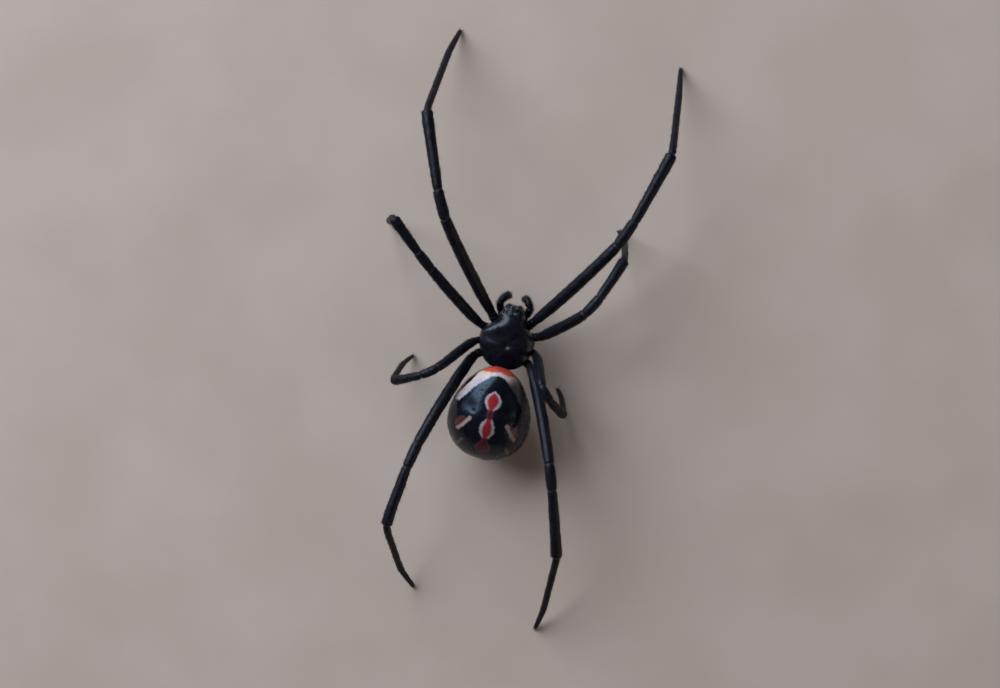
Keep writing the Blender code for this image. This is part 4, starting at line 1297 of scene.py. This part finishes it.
# %% Sizes along a leg
# Radius along each segment, as (share of its length, share of the thigh's radius)
LEG_FORM = {
    "coxa": ((0.0, 0.58), (0.15, 0.72), (0.5, 0.83), (0.66, 0.80), (0.8, 0.75), (1.0, 0.74)),
    "femur": ((0.0, 0.74), (0.06, 0.84), (0.2, 0.95), (0.45, 0.98), (0.75, 0.95), (0.94, 0.93), (1.0, 0.85)),
    "patella": ((0.0, 0.85), (0.12, 0.89), (0.45, 0.93), (0.85, 0.88), (1.0, 0.80)),
    "tibia": ((0.0, 0.78), (0.1, 0.83), (0.35, 0.87), (0.65, 0.91), (0.88, 0.97), (0.97, 0.97), (1.0, 0.84)),
    "metatarsus": ((0.0, 0.60), (0.04, 0.61), (0.3, 0.585), (0.92, 0.56), (1.0, 0.53)),
    "tarsus": ((0.0, 0.52), (0.1, 0.52), (0.5, 0.45), (0.9, 0.35), (1.0, 0.27)),
}
TROCHANTER_SHARE = 0.7
METATARSUS_SHARE = {1: 0.72, 2: 0.70, 3: 0.67, 4: 0.72}
JOINT_GROOVE, JOINT_COLLAR, JOINT_REACH, COLLAR_BEFORE = 0.1, 0.02, 0.05, 0.11
TOE_LENGTH = 0.14
HIP_ROUNDED = 0.16
# Rounded ends stop just short of a point
ROUNDED_UP_TO = 0.98


def leg_marks(pair, joint_stations):
    """Start and end of each segment along the leg, and the places of all its joints."""
    coxa, femur, patella, ankle, foot = joint_stations
    heel = ankle + (foot - ankle) * METATARSUS_SHARE[pair]
    marks = (0.0, coxa, femur, patella, ankle, heel, foot)
    return dict(zip(LEG_FORM, zip(marks, marks[1:]))), (coxa * TROCHANTER_SHARE, *marks[1:-1])


def leg_radii(stations, spans, joints, thigh_radius):
    radii = np.zeros(len(stations))
    for segment, (start, end) in spans.items():
        inside = (stations >= start) & (stations <= end)
        radii[inside] = profile(LEG_FORM[segment], (stations[inside] - start) / (end - start))
    radii = eased(radii, 5) * thigh_radius
    for joint in joints:
        radii *= 1 - JOINT_GROOVE * bell(stations - joint, JOINT_REACH)
        radii *= 1 + JOINT_COLLAR * bell(stations - joint + COLLAR_BEFORE, JOINT_REACH)
    toe = (stations - stations[-1] + TOE_LENGTH) / TOE_LENGTH
    hip = 1 - stations / HIP_ROUNDED
    for end in (toe, hip):
        radii *= roundness(np.clip(end, 0.0, ROUNDED_UP_TO), 1.0)
    return radii


print("segments of a leg:", ", ".join(LEG_FORM))

# %% [markdown]
# The skin of a leg is one tube from the breast plate to the claws, so no seam shows between the
# solids. Seven separate tubes would be closer to the solids, but their ends would have to meet in
# soft skin anyway. That skin is a value on the vertices here, which the finish turns into colour.

# %% Skins of the legs
LEG_AROUND = 24
FAR_STEP, NEAR_STEP, NEAR_JOINT = 0.09, 0.022, 0.26
JOINT_SKIN_REACH = 0.055
# The tube ends where its middle comes this close to the floor
TIP_HEIGHT = 0.085
LEG_WAVE_HEIGHT, LEG_WAVE_LENGTH = 0.006, 0.7
LEGS = {}


def leg_stations(length, joints):
    """Places along the leg where a ring is set: far apart on the segments, close at joints and ends."""
    near = [np.arange(place - NEAR_JOINT, place + NEAR_JOINT, NEAR_STEP) for place in (0.0, *joints, length)]
    stations = np.unique(np.concatenate([np.arange(0.0, length, FAR_STEP), *near]).round(3))
    stations = stations[np.concatenate([[True], np.diff(stations) > NEAR_STEP / 2])]
    return stations[(stations >= 0) & (stations <= length)]


for pair in METATARSUS_SHARE:
    for side_name in SIDES:
        knots, joint_places, thigh_radius = leg_route(pair, side_name)
        line, length, knot_stations = smooth_line(knots)
        spans, joints = leg_marks(pair, knot_stations[joint_places])
        stations = leg_stations(length[-1], joints)
        middle = eased(along_line(line, length, stations), 4)
        standing = (middle[:, 2] > TIP_HEIGHT) | (stations < spans["tarsus"][0])
        stations, middle = stations[standing], middle[standing]
        grid = swept_rings(middle, leg_radii(stations, spans, joints, thigh_radius), LEG_AROUND)
        grid = raised(grid, uneven(grid, [(LEG_WAVE_HEIGHT, LEG_WAVE_LENGTH, 60 + pair)]))
        nodes = [f"leg{pair}_{side_name}_{node}" for node in LEG_NODES]
        leg = add_skin(f"leg{pair}_{side_name}_skin", [grid], LEG_SHELL, nodes)
        ankle = spans["metatarsus"][0]
        values = {
            "joint_skin": sum(bell(stations - joint, JOINT_SKIN_REACH) for joint in joints),
            "foot_share": ramp(stations, ankle, length[-1] - ankle),
        }
        set_values(leg, {name: spread_over(numbers, LEG_AROUND) for name, numbers in values.items()})
        LEGS[pair, side_name] = {"grid": grid, "stations": stations, "spans": spans, "joints": joints}
longest = max(float(leg["stations"][-1]) for leg in LEGS.values())
print(len(LEGS), "legs, the longest", round(longest, 1), "mm along its bends")

# %% [markdown]
# Web spiders walk on three claws: two combed ones and a small hook between them that grips silk.
# From a step away they only sharpen the foot's tip, but a close look needs them. Each is a short
# hooked cone that ends on the floor.

# %% Claws
CLAW_LENGTH, CLAW_RADIUS = 0.19, 0.036
CLAW_SPREAD = 0.3
# Claws as (turn to the side, size)
FOOT_CLAWS = ((-CLAW_SPREAD, 1.0), (CLAW_SPREAD, 1.0), (0.0, 0.6))
# How deep a claw sits in the toe, how far its root moves with its turn, its rise and its hook
CLAW_SUNK, CLAW_ASIDE, CLAW_RISE, CLAW_HOOK = 0.07, 0.12, 0.12, 1.15
# The share of the foot's slope that a claw keeps
CLAW_SLOPE = 0.2
FLOOR_CLEARANCE = 0.004
for (pair, side_name), leg in LEGS.items():
    tip_middle = leg["grid"][-1].mean(axis=0)
    heading = unit(tip_middle - leg["grid"][-6].mean(axis=0))
    level = unit(np.cross(heading, UP))
    claws = []
    for turn, size in FOOT_CLAWS:
        ahead = unit(heading * np.array([1.0, 1.0, CLAW_SLOPE]) + UP * CLAW_RISE + level * turn)
        root = tip_middle - heading * CLAW_SUNK + level * turn * CLAW_ASIDE
        claws.append(hooked_cone(root, ahead, -CLAW_HOOK * UP, CLAW_LENGTH * size, CLAW_RADIUS * size))
    claws = [np.maximum(claw, [-np.inf, -np.inf, FLOOR_CLEARANCE]) for claw in claws]
    add_skin(f"leg{pair}_{side_name}_claws", claws, CLAW_HORN)
print("three claws on each of", len(LEGS), "feet")

# %% [markdown]
# A black widow looks bare in a photo, but fine black hairs cover it, and on the legs they blur the
# outline a little. Hairs set out in rows would look combed, so the roots are drawn at random, more
# of them where a cell of the grid is larger. Each takes over its cell's normal and run.


# %% Roots of hairs
def scattered(grid, count, draw, density=None):
    """Random roots on a grid of rings: place, normal, the way the grid runs, and place on its unwrap."""
    rows, columns = grid.shape[:2]
    beside = np.roll(grid, -1, axis=1)
    size = np.linalg.norm(np.cross(beside[:-1] - grid[:-1], grid[1:] - grid[:-1]), axis=2)
    if density is not None:
        size = size * density[:-1]
    chosen = draw.choice(size.size, count, p=(size / size.sum()).ravel())
    row, column = np.divmod(chosen, columns)
    down, over = draw.random(count), draw.random(count)
    right = (column + 1) % columns
    normals, runs = ring_normals(grid), unit(np.gradient(grid, axis=0))

    def mixed(values):
        low = values[row, column] * (1 - over)[:, None] + values[row, right] * over[:, None]
        high = values[row + 1, column] * (1 - over)[:, None] + values[row + 1, right] * over[:, None]
        return low * (1 - down)[:, None] + high * down[:, None]

    spots = np.stack([(column + over) / columns, (row + down) / (rows - 1)], axis=-1)
    return mixed(grid), unit(mixed(normals)), unit(mixed(runs)), spots


print("roots can be set on", len(LEGS) + len(FEELER_GRIDS) + len(JAW_GRIDS) + 3, "grids")

# %% [markdown]
# Particle hair would not survive an export, so each hair is a real curved cone with three sides:
# it leaves the skin at its lift and settles towards the limb. All of them are computed at once, as
# arrays, which takes a moment only.

# %% Growing hairs
HAIR_SIDES = 3
HAIR_POINTS = 2 * HAIR_SIDES + 1
PATCH_HALF = 0.0015
# The places of a hair's seven points on its patch of the unwrap, in half patches
PATCH_FORM = np.array([(-1, -1), (1, -1), (0, -0.6), (-0.7, 0), (0.7, 0), (0, 0.35), (0, 1)], dtype=float)
BUTT = [[0, 2, 1]]
LOWER_FLANKS = [[k, (k + 1) % 3, 3 + (k + 1) % 3] for k in range(3)]
UPPER_FLANKS = [[k, 3 + (k + 1) % 3, 3 + k] for k in range(3)]
POINT = [[3 + k, 3 + (k + 1) % 3, 6] for k in range(3)]
HAIR_FACES = np.array(BUTT + LOWER_FLANKS + UPPER_FLANKS + POINT)
# A hair's width at its middle, the share of its lift that is left there, and how deep its root lies
MIDDLE_WIDTH, LIFT_LEFT, ROOT_DEPTH = 0.65, 0.35, 0.012
# Hairs that would come closer to the floor are left out
HAIR_CLEARANCE = 0.015


def grow_hairs(name, roots, normals, lies, spots, lengths, widths, lifts, finish, slot, values=None):
    """Curved cones that leave the skin at their lift, in radians, and bend down along their lie."""
    lengths, widths, lifts = (
        np.broadcast_to(numbers, len(roots))[:, None] for numbers in (lengths, widths, lifts)
    )
    rising = lies * np.cos(lifts) + normals * np.sin(lifts)
    settling = lies * np.cos(lifts * LIFT_LEFT) + normals * np.sin(lifts * LIFT_LEFT)
    middles = roots + rising * lengths * 0.5
    tips = middles + settling * lengths * 0.5
    across = unit(np.cross(lies, normals) + 1e-6)
    over = np.cross(across, rising)
    points = np.zeros((len(roots), HAIR_POINTS, 3))
    for corner in range(HAIR_SIDES):
        turn = corner * 2 * math.pi / HAIR_SIDES
        offset = widths * (math.cos(turn) * across + math.sin(turn) * over)
        points[:, corner] = roots - normals * ROOT_DEPTH + offset
        points[:, HAIR_SIDES + corner] = middles + offset * MIDDLE_WIDTH
    points[:, -1] = tips
    kept = points[..., 2].min(axis=1) > HAIR_CLEARANCE
    points, spots = points[kept], np.clip(spots[kept], PATCH_HALF, 1 - PATCH_HALF)
    faces = (HAIR_FACES[None] + np.arange(len(points))[:, None, None] * HAIR_POINTS).reshape(-1, 3)
    coat = add_piece(name, points.reshape(-1, 3), [faces], finish)
    corner_points = np.zeros(len(coat.data.loops), dtype=np.int32)
    coat.data.loops.foreach_get("vertex_index", corner_points)
    patches = (spots[:, None, :] + PATCH_FORM[None] * PATCH_HALF).reshape(-1, 2)
    coat.data.uv_layers.new(name="OFBake").data.foreach_set("uv", patches[corner_points].ravel())
    if values:
        set_values(coat, {key: np.repeat(numbers[kept], HAIR_POINTS) for key, numbers in values.items()})
    return coat


print("one hair has", len(HAIR_FACES), "triangles")

# %% [markdown]
# On the legs the hairs point to the foot and stand off the shell at a low angle, close together
# and longest on the shin and just below it. A few long upright ones among them feel the air. The last
# legs carry a comb of curved bristles under the foot, which flings silk: it gave the family its
# name of comb-footed spiders.

# %% Hairs of the legs
LEG_HAIRS_PER_MM = 105
LEG_HAIR_LENGTH = {
    "coxa": 0.13, "femur": 0.19, "patella": 0.19, "tibia": 0.22, "metatarsus": 0.22, "tarsus": 0.17,
}
LEG_HAIR_WIDTH = 0.0062
# How much the lengths vary, the lift and its spread, and how much the lies vary
LEG_HAIR_RANGE, LEG_HAIR_LIFT, LEG_HAIR_STRAY = (0.7, 1.25), (0.38, 0.12), 0.12
BARE_AT_JOINTS = 0.05
FEELING_HAIRS = {"tibia": 7, "metatarsus": 2}
FEELING_HAIR_LENGTH, FEELING_HAIR_LIFT, FEELING_HAIR_WIDTH = 0.42, 1.25, 0.005
COMB_TEETH = 10
# The comb starts and ends this far from the ends of the last segment
COMB_FROM, COMB_TO = 0.3, 0.15
COMB_LENGTH, COMB_WIDTH, COMB_LIFT = 0.16, 0.011, 0.75
for (pair, side_name), leg in LEGS.items():
    draw = np.random.default_rng(700 + pair * 10 + SIDES[side_name])
    grid, stations = leg["grid"], leg["stations"]
    count = int(LEG_HAIRS_PER_MM * stations[-1])
    covered = 1 - sum(bell(stations - joint, JOINT_REACH) for joint in leg["joints"])
    density = np.clip(covered, BARE_AT_JOINTS, 1.0)[:, None] * np.ones(LEG_AROUND)
    roots, normals, lies, spots = scattered(grid, count, draw, density)
    rooted_at = np.interp(spots[:, 1] * (len(stations) - 1), np.arange(len(stations)), stations)
    lengths = np.full(count, LEG_HAIR_LENGTH["coxa"])
    for segment, (start, end) in leg["spans"].items():
        lengths[(rooted_at >= start) & (rooted_at < end)] = LEG_HAIR_LENGTH[segment]
    lengths = lengths * draw.uniform(*LEG_HAIR_RANGE, count)
    lifts = draw.normal(*LEG_HAIR_LIFT, count)
    widths = np.full(count, LEG_HAIR_WIDTH)
    for segment, number in FEELING_HAIRS.items():
        start, end = leg["spans"][segment]
        upper = np.flatnonzero((rooted_at > start) & (rooted_at < end) & (normals[:, 2] > 0))
        tall = draw.choice(upper, number)
        lengths[tall], lifts[tall], widths[tall] = FEELING_HAIR_LENGTH, FEELING_HAIR_LIFT, FEELING_HAIR_WIDTH
    stray = unit(lies + draw.normal(0, LEG_HAIR_STRAY, (count, 3)))
    lies = unit(stray - normals * (stray * normals).sum(axis=1)[:, None])
    name = f"leg{pair}_{side_name}_hairs"
    grow_hairs(name, roots, normals, lies, spots, lengths, widths, lifts, HAIR, "leg_cuticle")
    if pair == 4:
        under = grid[..., 2].argmin(axis=1)
        start = leg["spans"]["tarsus"][0]
        places = np.linspace(start + COMB_FROM, stations[-1] - COMB_TO, COMB_TEETH)
        rows = np.searchsorted(stations, places)
        grow_hairs(
            f"leg{pair}_{side_name}_comb", grid[rows, under[rows]], ring_normals(grid)[rows, under[rows]],
            unit(np.gradient(grid.mean(axis=1), axis=0))[rows],
            np.stack([under[rows] / LEG_AROUND, rows / len(stations)], axis=-1),
            COMB_LENGTH, COMB_WIDTH, COMB_LIFT, CLAW_HORN, "leg_cuticle",
        )
print("hairs on a front leg:", int(LEG_HAIRS_PER_MM * LEGS[1, "left"]["stations"][-1]))

# %% [markdown]
# The abdomen's hairs are shorter and sparser and lie flat to the rear, so that the shell shines
# through them. They read the same marking values as the skin below, each at its own root. The
# carapace has only scattered ones, which point forward, and feelers, jaws and breast plate have
# bristles of their own. One table holds what sets the five kinds apart.

# %% Hairs of the body
# Each as (how many, shortest, longest, width, lift, spread of the lift)
BODY_HAIRS = {
    "abdomen": (5200, 0.10, 0.20, 0.0042, 0.45, 0.12),
    "carapace": (900, 0.08, 0.17, 0.0045, 0.6, 0.15),
    "feeler": (650, 0.14, 0.26, 0.006, 0.7, 0.2),
    "jaw": (170, 0.08, 0.17, 0.0045, 0.6, 0.15),
    "breast_plate": (420, 0.09, 0.18, 0.0045, 0.6, 0.15),
}
BARE_ROUND_EYES = 0.05
# Only the underside of the breast plate has hairs
FACING_DOWN = -0.2
BODY_DRAW = np.random.default_rng(900)


def every_hair(roots, normals):
    return np.ones(len(roots), dtype=bool)


def clear_of_eyes(roots, normals):
    away = [np.linalg.norm(roots - middle, axis=1) - radius for middle, radius in EYES.values()]
    return np.min(away, axis=0) > BARE_ROUND_EYES


def on_underside(roots, normals):
    return normals[:, 2] < FACING_DOWN


def grow_coat(name, kind, grid, finish, slot, chosen=every_hair, along=1, read=None):
    """Scatters hairs of one kind over a grid; along is -1 where they lie against its run."""
    count, shortest, longest, width, lift, spread = BODY_HAIRS[kind]
    roots, normals, lies, spots = scattered(grid, count, BODY_DRAW)
    lengths, lifts = BODY_DRAW.uniform(shortest, longest, count), BODY_DRAW.normal(lift, spread, count)
    kept = chosen(roots, normals)
    hairs = (roots[kept], normals[kept], along * lies[kept], spots[kept], lengths[kept], width, lifts[kept])
    return grow_hairs(name, *hairs, finish, slot, read(roots[kept]) if read else None)


abdomen_coat = grow_coat(
    "abdomen_hairs", "abdomen", abdomen_grid, MARKED_HAIR, "abdomen_cuticle", read=markings
)
grow_coat("carapace_hairs", "carapace", carapace_grid, HAIR, "carapace_cuticle", clear_of_eyes, along=-1)
for side_name, feeler_grid in FEELER_GRIDS.items():
    grow_coat(f"feeler_{side_name}_hairs", "feeler", feeler_grid, HAIR, "leg_cuticle")
for side_name, jaw_grid in JAW_GRIDS.items():
    grow_coat(f"jaw_{side_name}_hairs", "jaw", jaw_grid[6:-4], HAIR, "carapace_cuticle")
grow_coat("breast_plate_hairs", "breast_plate", sternum_grid, HAIR, "carapace_cuticle", on_underside)
print("body hairs:", len(abdomen_coat.data.polygons) // len(HAIR_FACES), "on the abdomen")

# %% [markdown]
# The photo looks straight at a wall in open shade. For a museum stand the wall becomes a plain pale
# floor, and the spider walks on it. A flat colour would look like a cut-out, so the floor has a
# faint unevenness like painted board.

# %% Floor
FLOOR_SIZE = 1.2
BOARD_COLOURS = (colour(0.565, 0.400, 0.312), colour(0.615, 0.444, 0.350))
bpy.ops.mesh.primitive_plane_add(size=FLOOR_SIZE, location=(BODY_MIDDLE[0], BODY_MIDDLE[1], 0.0))
floor = bpy.context.object
floor.name = "floor"
floor_finish, floor_tree, floor_shader = new_finish("pale_board", 0.75)
floor_place = millimetres(floor_tree)
floor_mottle = mottled(floor_tree, floor_place, 0.12, 0.3, 0.7, detail=5.0)
floor_shade = blended(floor_tree, floor_mottle, *BOARD_COLOURS)
floor_tree.links.new(floor_shade, floor_shader.inputs["Base Color"])
floor.data.materials.append(floor_finish)
print("floor", FLOOR_SIZE, "m square")

# %% [markdown]
# The camera looks straight down, as the photographer looked straight at the wall, and it is turned
# so that the spider's head leans to the same side. A long lens from 200 mm away keeps the legs'
# spread true. The turn is the angle between the body's axis and the upright of the frame.

# %% Camera
CAMERA_TURN = math.radians(13.0)
CAMERA_HEIGHT = 200.0
CAMERA_OFFSET = (0.358, 0.496)
FRAME_WIDTH = 58.38
SENSOR_WIDTH = 36.0
IMAGE_RIGHT = np.array([-math.cos(CAMERA_TURN), -math.sin(CAMERA_TURN), 0.0])
IMAGE_UP = np.array([math.sin(CAMERA_TURN), -math.cos(CAMERA_TURN), 0.0])
camera = bpy.data.objects.new("camera", bpy.data.cameras.new("camera"))
bpy.context.scene.collection.objects.link(camera)
camera.data.sensor_width = SENSOR_WIDTH
camera.data.lens = SENSOR_WIDTH * CAMERA_HEIGHT / FRAME_WIDTH
camera.data.clip_start = 0.002
camera.data.clip_end = 5.0
camera.rotation_mode = "QUATERNION"
camera.location = BODY_MIDDLE + np.array([*CAMERA_OFFSET, CAMERA_HEIGHT]) * MM
camera.rotation_quaternion = Matrix([IMAGE_RIGHT, IMAGE_UP, UP]).transposed().to_quaternion()
bpy.context.scene.camera = camera
print("lens", round(camera.data.lens, 1), "mm")

# %% [markdown]
# Black shell shows almost nothing but what it mirrors. One wide soft window to the upper left gives
# the blue sheen on the abdomen and the soft shadows to the right, as the open sky did, and a weaker
# warm one opposite keeps the far legs from going flat. A light overhead would mirror straight into
# the lens and turn the back grey, so there is none.


# %% Lights
def soft_window(name, toward, distance, size, power, tint):
    """A square soft light that shines on the spider from a direction in the frame."""
    lamp = bpy.data.lights.new(name, "AREA")
    lamp.shape = "SQUARE"
    lamp.size = size
    lamp.energy = power
    lamp.color = tint
    window = bpy.data.objects.new(name, lamp)
    bpy.context.scene.collection.objects.link(window)
    direction = Vector(unit(toward[0] * IMAGE_RIGHT + toward[1] * IMAGE_UP + toward[2] * UP))
    window.location = Vector(BODY_MIDDLE) + direction * distance
    window.rotation_mode = "QUATERNION"
    window.rotation_quaternion = (-direction).to_track_quat("-Z", "Y")


soft_window("sky_window", (-0.58, 0.60, 0.54), distance=0.34, size=0.32, power=2.15, tint=(0.66, 0.83, 1.0))
soft_window("warm_window", (0.80, -0.55, 0.20), distance=0.42, size=0.3, power=0.3, tint=(1.0, 0.92, 0.84))
world = bpy.data.worlds.new("pale_room")
world.use_nodes = True
world.node_tree.nodes["Background"].inputs["Color"].default_value = colour(0.72, 0.78, 0.86)
world.node_tree.nodes["Background"].inputs["Strength"].default_value = 0.1
bpy.context.scene.world = world
bpy.context.scene.view_settings.view_transform = "Standard"
print("two soft windows and a pale room")
